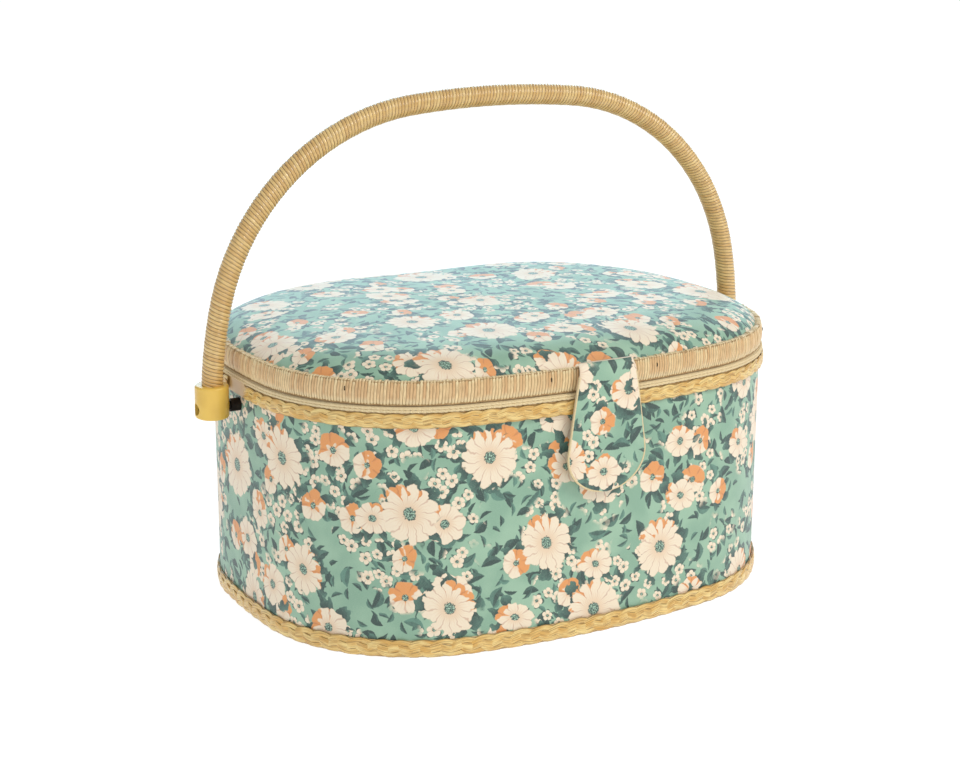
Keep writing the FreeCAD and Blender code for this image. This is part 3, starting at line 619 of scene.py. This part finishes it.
FLORAL = floral_cloth()
LINING = plain_cloth("lining_cloth", "ece2cc", "d3c6a8")
STRAW = straw()
STRAW_BACKING = straw("straw_backing", "e6c88c", "cfa566", "93683a", painted_edge_shade=False)
TAN_PITCH, GOLD_PITCH = 1.75, 2.2
RIM_SPAN = (5.0, 18.0)
TAN = wound_strand("tan_strand", "f4d9a4", "dcb07a", "835a2b", TAN_PITCH, 0.2, 0.34, 0.35, pale_ends=RIM_SPAN)
GOLD = wound_strand("gold_strand", "f0ce88", "dcb068", "6e451a", GOLD_PITCH, 0.2, roughness=0.24, coat=0.6)
CORD = plain_cloth("cream_cord", "f4e2b8", "d9bc88", pitch=1.2)
MUSTARD = moulded("mustard_plastic", "edc45a", "dcb048", roughness=0.3)
TRAY = moulded("tray_plastic", "f1eadb", "ece4d3", roughness=0.38)
STEEL = metal("bright_steel", "bdbebe", "a3a4a4")
DARK_STEEL = metal("dark_steel", "3a3531", "241f1c", roughness=0.45)
BRASS = metal("satin_brass", "d3b071", "b48f50", roughness=0.34)
BOARD = board()

NODE_MATERIALS = (
    (BOARD, ("base_board", "wall_board", "lid_rim_core", "lid_board", "tab_stiffener")),
    (LINING, ("liner_board",)),
    (STRAW_BACKING, ("rim_band",)),
    (MUSTARD, ("handle_core", "handle_caps")),
    (TRAY, ("upper_tray", "lower_tray")),
    (STEEL, ("pivot_washers", "pivot_nuts", "hinge_pins", "clasp_base_disc", "clasp_tab_disc")),
    (DARK_STEEL, ("pivot_spacers", "pivot_bolts")),
    (BRASS, ("hinge_base_leaves", "hinge_lid_leaves", "hinge_base_screws", "hinge_lid_screws")),
)


def finish_piece(piece, body, material, nodes=()):
    piece.data.materials.append(material)
    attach(piece, body)
    if nodes:
        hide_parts(*nodes)
    return piece


def dress_nodes():
    """Gives the CAD nodes that stay in view their finishes."""
    for material, nodes in NODE_MATERIALS:
        for node in nodes:
            for place in frame["nodes"][node].material_slots:
                place.material = material


# --- basket ---

BRAID_TOP = span("lower_braid")[1]
WALL_TOP = span("wall_board")[1]
UPPER_LOW = span("upper_braid")[0]
EDGE_TOP = span("rim_cord")[1]
BOARD_FACE = -0.0044


def band_profile(outer, inner, low, high, rows):
    """A thin upright wall: many rows up the outside, then down the inside."""
    outside = [(outer, low + (high - low) * i / rows) for i in range(rows + 1)]
    inside = [(inner, high + (low - high) * i / rows) for i in range(rows + 1)]
    return outside + inside


def wall_cloth():
    rows, deep = 40, 0.00022

    def pucker(distance, row):
        height = row * (WALL_TOP / rows)
        return soft_noise(distance / 0.05, height / 0.09, 3) * deep * (row <= rows), 0.0

    profile = band_profile(0.0001, -0.0007, 0.0004, WALL_TOP, rows)
    piece = ring_piece("wall_cloth", profile, 560, start=BACK, ripple=pucker)
    finish_piece(piece, "basket", FLORAL, ["wall_fabric"])
    # A lapped seam at the back, where the cloth's two ends meet.
    lap_profile = band_profile(0.0007, 0.0002, BRAID_TOP - 0.001, UPPER_LOW, 20)
    half_lap = 0.006
    lap = ring_piece("wall_seam", lap_profile, 8, start=BACK - half_lap, end=BACK + half_lap)
    finish_piece(lap, "basket", FLORAL)


def wall_lining():
    rows, deep = 24, 0.0005

    def gathers(distance, row):
        return -np.abs(soft_noise(distance / 0.035, row / 9.0, 11)) * deep * (row > rows), 0.0

    profile = band_profile(BOARD_FACE, BOARD_FACE - 0.0006, *span("wall_lining"), rows)
    piece = ring_piece("inner_lining", profile, 420, ripple=gathers)
    finish_piece(piece, "basket", LINING, ["wall_lining"])


def liner_cloth():
    """The ledge's cloth: over the liner board's inner face and top."""
    low, high = span("floor_pad")[0], span("liner_board")[1]
    face, rows, deep = -0.0121, 20, 0.0004
    profile = [(-0.0055, high + 0.0001), (-0.0085, high + 0.0003)]
    profile += [(face, high + 0.0001), (face - 0.0004, high - 0.0008)]
    profile += [(face - 0.0005, high - 0.0008 + (low - high) * i / rows) for i in range(1, rows)]
    profile += [(face - 0.0001, low + 0.001), (face - 0.0001, high - 0.001), (-0.0055, high - 0.0001)]

    def gathers(distance, row):
        inside = (row > 4) & (row < rows + 3)
        return -np.abs(soft_noise(distance / 0.03, row / 8.0, 12)) * deep * inside, 0.0

    piece = ring_piece("ledge_cloth", profile, 420, ripple=gathers)
    finish_piece(piece, "basket", LINING)


def disc_piece(name, levels, grow, columns=160, rings=30):
    """A closed oval pad. levels(share, x, y, upper) gives each face's height, with share 0 in the middle."""
    distance = np.linspace(0, PERIMETER, columns, endpoint=False)
    point, normal = around(distance)
    edge = point + normal * grow
    shares = np.linspace(0.02, 1.0, rings)
    points, uv = [], []
    for upper, order in ((True, shares), (False, shares[::-1])):
        for share in order:
            xy = edge * share
            z = levels(share, xy[:, 0], xy[:, 1], upper)
            points.append(np.column_stack([xy, z + np.zeros(columns)]))
            uv.append(np.concatenate([xy, xy[:1]]))
    return closed_piece(name, points, np.array(uv))


def quilted(first, second, pitch, softness):
    """1 in the middle of each quilted square and 0 along its stitching."""
    return (np.abs(np.sin(first / pitch * math.pi)) * np.abs(np.sin(second / pitch * math.pi))) ** softness


def floor_cushion():
    low, high = span("floor_pad")
    stitched = 0.72

    def levels(share, x, y, upper):
        roll = (1 - share**14) ** 0.5
        puff = stitched + (1 - stitched) * quilted(x, y, 0.045, 0.4)
        top = low + 0.0012 + (high - low - 0.0014) * roll * puff
        return top if upper else low + 0.0001 + 0.0006 * (1 - roll)

    piece = disc_piece("floor_cushion", levels, -0.0128, columns=260, rings=70)
    finish_piece(piece, "basket", LINING, ["floor_pad"])


def underside_cloth():
    low, high = span("underside_cover")

    def levels(share, x, y, upper):
        return high if upper else low + 0.00025 + soft_noise(x / 0.06, y / 0.06, 21) * 0.00008

    piece = disc_piece("underside_cloth", levels, BOARD_FACE)
    finish_piece(piece, "basket", LINING, ["underside_cover"])


def plait(name, low, high, start, end, depth, pitch, seed, back_grow):
    """Three flat strands crossing over and under along a stretch of the oval."""
    strand_wide, strand_thick, overlap = 0.325, 0.30, 0.94
    wander_share, plump_share, most_tilt = 0.018, 0.07, 0.22
    steps_per_lay, seam_fade = 26, 0.01
    chance = np.random.default_rng(seed)
    tall = high - low
    half_wide = tall * strand_wide
    swing = tall / 2 - half_wide * overlap
    half_thick = depth * strand_thick
    length = end - start
    steps = int(length / pitch * steps_per_lay)
    distance = np.linspace(start, end, steps)
    level = np.zeros_like(distance)
    whole = abs(length - PERIMETER) < 1e-6
    turns = round(length / pitch)
    around_section = round_angles(10)
    flatness = 0.8
    sine = np.sin(around_section)[:, None]
    pieces = []
    for strand in range(3):
        phase = (distance - start) / length * turns * TAU + strand * TAU / 3
        wander = soft_noise(distance / 0.03, level, seed + strand) * tall * wander_share
        fade = 1.0 if not whole else np.minimum(1, np.minimum(distance - start, end - distance) / seam_fade)
        across = np.sin(phase) * swing + wander * fade
        out = back_grow + half_thick * 1.15 + (np.sin(2 * phase) * 0.5 + 0.5) * (depth - half_thick * 2.3)
        slope = np.cos(phase)
        plump = 1 + soft_noise(distance / 0.011, level, seed + 10 + strand) * plump_share * fade
        tilt = -slope * most_tilt
        local_up = np.cos(around_section)[:, None] * half_wide * plump[None]
        local_out = np.sign(sine) * np.abs(sine) ** flatness * half_thick * np.ones_like(plump)[None]
        up = local_up * np.cos(tilt) - local_out * np.sin(tilt)
        outwards = local_up * np.sin(tilt) * 0.5 + local_out * np.cos(tilt)
        point, normal = around(distance)
        grow = out[None] + outwards
        xy = point[None] + normal[None] * grow[..., None]
        z = (low + high) / 2 + across[None] + up
        z = np.clip(z, low + 0.00002, None)
        points = np.concatenate([xy, z[..., None]], -1)
        u = distance + strand * 0.37 + chance.uniform(0, 1)
        uv = np.stack(np.meshgrid(u, np.append(around_section, TAU) * STRAND_TURN), -1)
        piece = swept_piece(f"{name}_strand_{strand + 1}", points, uv)
        pieces.append(finish_piece(piece, "basket", STRAW))
    return pieces


def braids():
    """The lower braid all round, and the upper one in two stretches with a gap at each handle cap."""
    depth, lower_lay, upper_lay = 0.0019, 0.0350, 0.0310
    lower_step, upper_step = 0.0002, 0.0009
    gap, half = 0.0125, PERIMETER / 2
    lower = plait("lower_plait", 0.0002, BRAID_TOP, 0.0, PERIMETER, depth, lower_lay, 41, lower_step)
    low, high = UPPER_LOW, WALL_TOP
    begin, end = half + gap, PERIMETER - gap
    plait("upper_plait_back", low, high, gap, half - gap, depth, upper_lay, 51, upper_step)
    front = plait("upper_plait_front", low, high, begin, end, depth, upper_lay, 61, upper_step)
    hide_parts("lower_braid")
    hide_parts("upper_braid")
    strip = ring_piece("lower_plait_strip", band_profile(0.0007, 0.0002, 0.0003, BRAID_TOP - 0.0006, 3), 400)
    finish_piece(strip, "basket", STRAW_BACKING)


def twisted_cord(name, grow, level, radius, lay):
    """A two-ply cord round the oval, its plies showing as a slanting ripple."""
    sides, columns_per_turn = 12, 7
    ply_tall, ply_sunk = radius * 0.36, radius * 0.2
    turns = round(PERIMETER / lay)

    def plies(distance, row):
        angle = row / sides * TAU
        ridge = np.abs(np.cos(angle + distance / PERIMETER * turns * math.pi)) * ply_tall - ply_sunk
        return ridge * np.cos(angle), ridge * np.sin(angle)

    return ring_piece(name, round_section(grow, level, radius, sides), turns * columns_per_turn, ripple=plies)


def rim_edge():
    """What tops the wall: a wrapped edge, with a twisted cord standing just proud of it."""
    profile = [(0.0004, WALL_TOP), (0.0009, WALL_TOP + 0.0008), (0.0009, EDGE_TOP - 0.0010)]
    profile += [(0.0002, EDGE_TOP - 0.0002), (-0.0025, EDGE_TOP)]
    profile += [(-0.0048, EDGE_TOP - 0.0003), (-0.0050, WALL_TOP)]
    edge = ring_piece("rim_edging", profile, 520)
    finish_piece(edge, "basket", CORD, ["rim_cord"])
    for number, (rise, radius) in enumerate(((0.0010, 0.00085), (0.0025, 0.0007)), start=1):
        cord = twisted_cord(f"rim_cord_{number}", 0.0011, WALL_TOP + rise, radius, 0.0030)
        finish_piece(cord, "basket", CORD)


# --- lid ---

LID_LOW, RIM_TOP = span("lid_rim_core")
DOME_TOP = span("lid_cover")[1]
BOARD_LOW = span("lid_board")[0]
RIM_OUT = span("lid_rim_wrap", axis=0)[1] - HALF_LENGTH


def rim_winding():
    """The lid's rim, wound with upright strands that bulge and loop over the top."""
    tall = RIM_TOP - LID_LOW - 0.0022
    out = RIM_OUT
    strands = int(PERIMETER / (TAN_PITCH * MM))
    columns = strands * 6
    pitch = PERIMETER / strands
    arc = [(-0.0038, LID_LOW + 0.0004), (-0.0016, LID_LOW + 0.0001), (out - 0.0011, LID_LOW + 0.0004)]
    for share in np.linspace(0, 1, 9):
        arc.append((out - 0.0007 + 0.0009 * math.sin(math.pi * share), LID_LOW + 0.0012 + tall * share))
    arc += [(out - 0.0012, RIM_TOP + 0.0002), (out - 0.0026, RIM_TOP + 0.0004), (-0.0045, RIM_TOP - 0.0004)]
    chance = np.random.default_rng(7)
    bulge = chance.normal(0, 0.00010, strands + 1)
    rise = chance.normal(0, 0.00022, strands + 1)
    rows = len(arc)
    slant = 0.05
    bulge_out, groove = 0.00060, 0.00047

    def strand_shape(distance, row):
        count = distance / pitch - row * slant + 1e-6
        number = np.floor(count).astype(int) % strands
        share = count - np.floor(count)
        round_top = np.sqrt(np.clip(1 - (2 * share - 1) ** 2, 0, 1))
        outside = (row >= 2) & (row <= rows - 2)
        grow = (round_top * bulge_out - groove + bulge[number] * round_top) * outside
        level = (rise[number] + round_top * 0.0005 - 0.0003) * (row >= rows - 4)
        return grow, level

    piece = ring_piece("rim_winding", arc, columns, ripple=strand_shape)
    uv = piece.data.uv_layers["cloth"].data
    values = np.zeros(len(uv) * 2)
    uv.foreach_get("uv", values)
    row = np.array([loop.vertex_index // columns for loop in piece.data.loops])
    values[0::2] = (values[0::2] / pitch - row * slant) * TAN_PITCH * MM
    uv.foreach_set("uv", values)
    finish_piece(piece, "lid", TAN, ["lid_rim_wrap"])


def staples():
    """Small dark wire staples that hold the winding."""
    places = [FRONT + step for step in (-0.034, 0.036, -0.150, 0.155, -0.265, 0.270)]
    places += [BACK + step for step in (-0.1, 0.1)]
    height = (LID_LOW + RIM_TOP) / 2 + 0.002
    wire, half_tall = 0.00028, 0.0013
    for number, place in enumerate(places, start=1):
        rows = []
        for angle in round_angles(8):
            line = []
            for share in np.linspace(-1, 1, 9):
                point, normal = around(place + wire * math.cos(angle))
                grow = RIM_OUT - 0.0004 + 0.0007 * (1 - share**4) + wire * math.sin(angle)
                line.append([*(point + normal * grow), height + share * half_tall])
            rows.append(line)
        piece = swept_piece(f"rim_staple_{number}", rows)
        finish_piece(piece, "lid", DARK_STEEL)


def dome_level(share):
    """The padded top: a steep soft roll at the edge and a nearly flat crown."""
    base = RIM_TOP - 0.0040
    shoulder = DOME_TOP - 0.0022
    crown = 0.0032
    return base + (shoulder - base) * (1 - share**12) ** 0.7 + crown * (1 - share**2)


def lid_cover():
    """The stuffed top. The cloth is pulled tight over the pad and puckers a little where the rim holds it."""
    columns, rings = 480, 90
    distance = np.linspace(0, PERIMETER, columns, endpoint=False)
    point, normal = around(distance)
    inset, board_thick, smallest, slack = 0.0010, 0.0035, 0.012, 0.012
    pucker_reach, pucker_deep, soft_deep = 0.05, 0.00035, 0.0005
    edge = point - normal * inset
    under_level = BOARD_LOW + board_thick
    points, uv = [], []
    for share in (0.02, 0.5, 0.97):
        points.append(np.column_stack([edge * share, np.full(columns, under_level)]))
        uv.append(np.concatenate([edge * share, edge[:1] * share]))
    travelled = 0.0
    previous = None
    for share in np.sin(np.linspace(1, 0, rings) * math.pi / 2):
        share = max(share, smallest)
        level = dome_level(share)
        xy = edge * share
        near = math.exp(-(1 - share) / pucker_reach)
        pucker = soft_noise(distance / 0.013, np.full(columns, 0.3), 31) * pucker_deep * near
        soft = soft_noise(xy[:, 0] / 0.07, xy[:, 1] / 0.07, 32) * soft_deep * (1 - near)
        points.append(np.column_stack([xy, level + soft + pucker]))
        if previous is not None:
            travelled += math.hypot((previous[0] - share) * HALF_WIDTH, level - previous[1])
        previous = (share, level)
        # The print runs flat over the top, and down the roll by the cloth's own length.
        flat = edge * (HALF_WIDTH - travelled + slack) / HALF_WIDTH
        uv.append(np.concatenate([flat, flat[:1]]))
    piece = closed_piece("lid_cushion", points, np.array(uv))
    finish_piece(piece, "lid", FLORAL, ["lid_cover", "lid_pad"])


def lid_lining():
    low, high = span("lid_lining")
    deep = 0.0028

    def levels(share, x, y, upper):
        puff = deep * quilted(x + y, x - y, 0.06, 0.35) * (1 - share**20)
        return high if upper else low - puff - 0.0002

    piece = disc_piece("lid_quilting", levels, -0.0058, columns=320, rings=90)
    finish_piece(piece, "lid", LINING, ["lid_lining"])
    # A gathered cord hides the edge where the quilting meets the rim.
    trim = ring_piece("lid_quilting_piping", round_section(-0.0066, low - 0.0006, 0.0013, 10), 360)
    finish_piece(trim, "lid", LINING)


def rim_lining():
    """Cloth over the rim's inner face and underside, seen when the lid is up."""
    inner = -0.0055
    profile = [(-0.0042, LID_LOW), (inner - 0.0002, LID_LOW + 0.0002), (inner - 0.0004, LID_LOW + 0.0012)]
    profile += [(inner - 0.0004, BOARD_LOW - 0.0010), (inner - 0.0001, BOARD_LOW - 0.0006)]
    profile.append((inner - 0.0001, LID_LOW + 0.0008))
    piece = ring_piece("rim_lining", profile, 360)
    finish_piece(piece, "lid", LINING)


# --- tab ---


def tab_half_width(share):
    """Half the tab's width from its top (0) to its tip (1): it widens slowly, then ends in a round."""
    top_half, wide_half, turn = 0.0176, 0.0258, 0.70
    if share < turn:
        return top_half + (wide_half - top_half) * (share / turn) ** 0.9
    angle = (share - turn) / (1 - turn)
    return wide_half * math.sqrt(max(0.0, 1 - angle**2.1))


def tab_cloth():
    """Two layers of cloth over the stiffener, turned in at the edge, from under the lid's roll downwards."""
    low = span("tab_fabric")[0]
    front, back = (-place for place in span("tab_fabric", axis=1))
    high = RIM_TOP + 0.0030
    print_across, print_up, tuck_deep = 0.31, 0.052, 0.0030
    rows, half_columns = 70, 16
    shares = 1 - (1 - np.linspace(0, 1, rows)) ** 1.35
    across = np.sin(np.linspace(-math.pi / 2, math.pi / 2, 2 * half_columns + 1))
    section = list(across) + list(across[::-1])
    points, uv = [], []
    for share in shares:
        half = max(tab_half_width(share), 0.0004)
        z = high + (low - high) * share
        tuck = max(0.0, (z - RIM_TOP + 0.0025) / 0.0055)
        middle = (front + back) / 2 - tuck_deep * tuck**1.5
        bow = 0.0004 * math.sin(share * math.pi * 1.2)
        line, flat = [], []
        for number, side in enumerate(section):
            outer = number < len(across)
            thick = (front - back) / 2 * (1 - abs(side) ** 8) ** 0.5
            depth = middle + bow + (thick if outer else -thick)
            line.append([side * half, -depth, z])
            flat.append([side * half * (1 if outer else -1) + print_across, z + print_up])
        points.append(line)
        flat.append(flat[0])
        uv.append(flat)
    piece = closed_piece("tab_cloth", points, np.array(uv))
    finish_piece(piece, "tab", FLORAL, ["tab_fabric"])
    tab_piping(high, low, (front + back) / 2)


def tab_piping(high, low, depth):
    """A thin corded edge down both sides of the tab and round its tip."""
    shares = 1 - (1 - np.linspace(0.06, 1.0, 60)) ** 1.6
    side = np.array([(tab_half_width(share), high + (low - high) * share) for share in shares])
    line = np.concatenate([side * [-1, 1], side[-2::-1]])
    slope = np.gradient(line, axis=0)
    slope /= np.hypot(*slope.T)[:, None]
    radius = 0.0007
    rows, uv = [], []
    walked = np.concatenate([[0], np.cumsum(np.hypot(*np.diff(line, axis=0).T))])
    for angle in round_angles(10):
        inward = -0.0004 + radius * math.cos(angle)
        x = line[:, 0] + slope[:, 1] * inward
        z = np.maximum(line[:, 1] - slope[:, 0] * inward, low + 0.00005)
        rows.append(np.stack([x, np.full(len(line), -depth + radius * 1.3 * math.sin(angle)), z], -1))
        uv.append(np.stack([walked, np.full(len(line), angle * radius)], -1))
    uv.append(uv[0])
    piece = swept_piece("tab_piping", rows, np.array(uv))
    finish_piece(piece, "tab", CORD)


# --- handle ---


def arch_path(steps, first_height):
    """The handle's middle line as (x, height above the pivots) with its slope, from tangent arcs."""
    cap_radius = 0.0098
    left, right = span("handle_caps", axis=0)
    half_span = (right - left) / 2 - cap_radius
    leg, shoulder, crown, rise = 0.2736, 0.1381, 0.5370, 0.16945
    fine_step = 0.0002
    leg_centre = np.array([leg - half_span, 0.0])
    crown_centre = np.array([0.0, rise - crown])
    options = joined_centres(leg_centre, leg - shoulder, crown_centre, crown - shoulder)
    centre = max(options, key=lambda point: point[1])
    leg_turn = heading(centre - leg_centre)
    crown_turn = heading(centre - crown_centre)
    foot = math.pi - math.asin(first_height / leg)
    stretches = (
        (leg_centre, leg, foot, leg_turn),
        (centre, shoulder, leg_turn, crown_turn),
        (crown_centre, crown, crown_turn, math.pi / 2),
    )
    points, normals = [], []
    for middle, radius, begin, end in stretches:
        count = max(8, int(radius * abs(begin - end) / fine_step))
        angles = np.linspace(begin, end, count, endpoint=False)
        normals.append(np.stack([np.cos(angles), np.sin(angles)], -1))
        points.append(middle + radius * normals[-1])
    points, normals = np.concatenate(points), np.concatenate(normals)
    points = np.concatenate([points, points[::-1] * [-1, 1]])
    normals = np.concatenate([normals, normals[::-1] * [-1, 1]])
    walked = np.concatenate([[0], np.cumsum(np.hypot(*np.diff(points, axis=0).T))])
    at = np.linspace(0, walked[-1], steps)
    line = np.stack([np.interp(at, walked, points[:, i]) for i in (0, 1)], -1)
    slope = np.stack([np.interp(at, walked, normals[:, i]) for i in (0, 1)], -1)
    return line, slope / np.hypot(*slope.T)[:, None], at


def handle_winding():
    """Glossy strands wound side by side, tightly, from cap to cap."""
    joints = {joint["name"]: joint for joint in frame["record"]["behaviour"]["joints"]}
    pivot = joints["handle_pivot"]["pos_m"][2]
    cap_top = span("handle_caps")[1] - pivot
    lean = math.radians(2.37)
    pitch = GOLD_PITCH * MM
    turns, steps_per_turn, let_in = 262, 9, 0.0006
    line, normal, at = arch_path(turns * steps_per_turn, cap_top - let_in)
    length = at[-1]
    sides = 26
    radius, groove, unevenness = 0.0063, 0.00085, 0.00006
    chance = np.random.default_rng(5)
    starts = 4
    fat = chance.normal(0, unevenness, starts)
    points, uv = [], []
    for side in range(sides):
        angle = side / sides * TAU
        turn = at / length * turns - starts * angle / TAU
        share = turn % 1.0
        round_top = np.sqrt(np.clip(1 - (2 * share - 1) ** 2, 0, 1))
        reach = radius - groove + (groove + fat[np.floor(turn).astype(int) % starts]) * round_top
        out = reach * math.cos(angle)
        deep = reach * math.sin(angle)
        x = line[:, 0] + normal[:, 0] * out
        up = line[:, 1] + normal[:, 1] * out
        y = deep * math.cos(lean) - up * math.sin(lean)
        z = pivot + deep * math.sin(lean) + up * math.cos(lean)
        points.append(np.stack([x, y, z], -1))
        uv.append(np.stack([turn * pitch, np.full_like(turn, angle * radius)], -1))
    uv.append(np.stack([uv[0][:, 0] - starts * pitch, np.full(len(at), TAU * radius)], -1))
    piece = swept_piece("handle_winding", points, np.array(uv))
    finish_piece(piece, "handle", GOLD, ["handle_wrap"])


# --- stage ---


def aim(thing, target):
    thing.rotation_euler = (Vector(target) - thing.location).to_track_quat("-Z", "Y").to_euler()


def camera():
    azimuth, elevation, distance = math.radians(-29.378), math.radians(14.558), 1.1516
    target = Vector((-0.00583, 0.0, 0.11935))
    level = math.cos(elevation)
    back = Vector((math.sin(azimuth) * level, -math.cos(azimuth) * level, math.sin(elevation)))
    data = bpy.data.cameras.new("camera")
    data.lens = 69.79
    data.sensor_width = 36.0
    data.clip_start = 0.01
    view = bpy.data.objects.new("camera", data)
    bpy.context.scene.collection.objects.link(view)
    view.location = target + back * distance
    aim(view, target)
    bpy.context.scene.camera = view


def area_light(name, place, target, size, power, tint=(1, 1, 1)):
    data = bpy.data.lights.new(name, "AREA")
    data.shape = "RECTANGLE"
    data.size, data.size_y = size
    data.energy = power
    data.color = tint
    light = bpy.data.objects.new(name, data)
    bpy.context.scene.collection.objects.link(light)
    light.location = place
    aim(light, target)


def stage():
    """A pale floor that glows faintly, a soft sky and three large soft lights."""
    side = 90.0
    floor = grid_piece("floor", [[(x, y, 0.0) for x in (-side, side)] for y in (-side, side)])
    material, _, shader = new_material("pale_floor", roughness=1.0, specular=0.0)
    shader.inputs["Base Color"].default_value = (0.25, 0.25, 0.25, 1)
    shader.inputs["Emission Color"].default_value = (1, 1, 1, 1)
    shader.inputs["Emission Strength"].default_value = 0.9
    floor.data.materials.append(material)
    world = bpy.data.worlds.new("studio")
    world.use_nodes = True
    background = next(n for n in world.node_tree.nodes if n.type == "BACKGROUND")
    background.inputs["Color"].default_value = (0.90, 0.96, 1.0, 1)
    background.inputs["Strength"].default_value = 0.56
    bpy.context.scene.world = world
    middle = (0, 0, 0.1)
    area_light("key", (1.0, -1.5, 1.8), middle, (0.9, 0.9), 26, tint=(1.0, 0.97, 0.92))
    area_light("fill", (-1.5, -1.1, 0.8), middle, (1.4, 1.4), 4)
    area_light("sky", (0.9, 1.7, 0.75), middle, (2.6, 1.0), 24, tint=(0.60, 0.85, 1.0))
    bpy.context.scene.view_settings.view_transform = "Standard"


camera()
stage()
dress_nodes()
wall_cloth()
wall_lining()
liner_cloth()
floor_cushion()
underside_cloth()
braids()
rim_edge()
rim_winding()
staples()
lid_cover()
lid_lining()
rim_lining()
tab_cloth()
handle_winding()
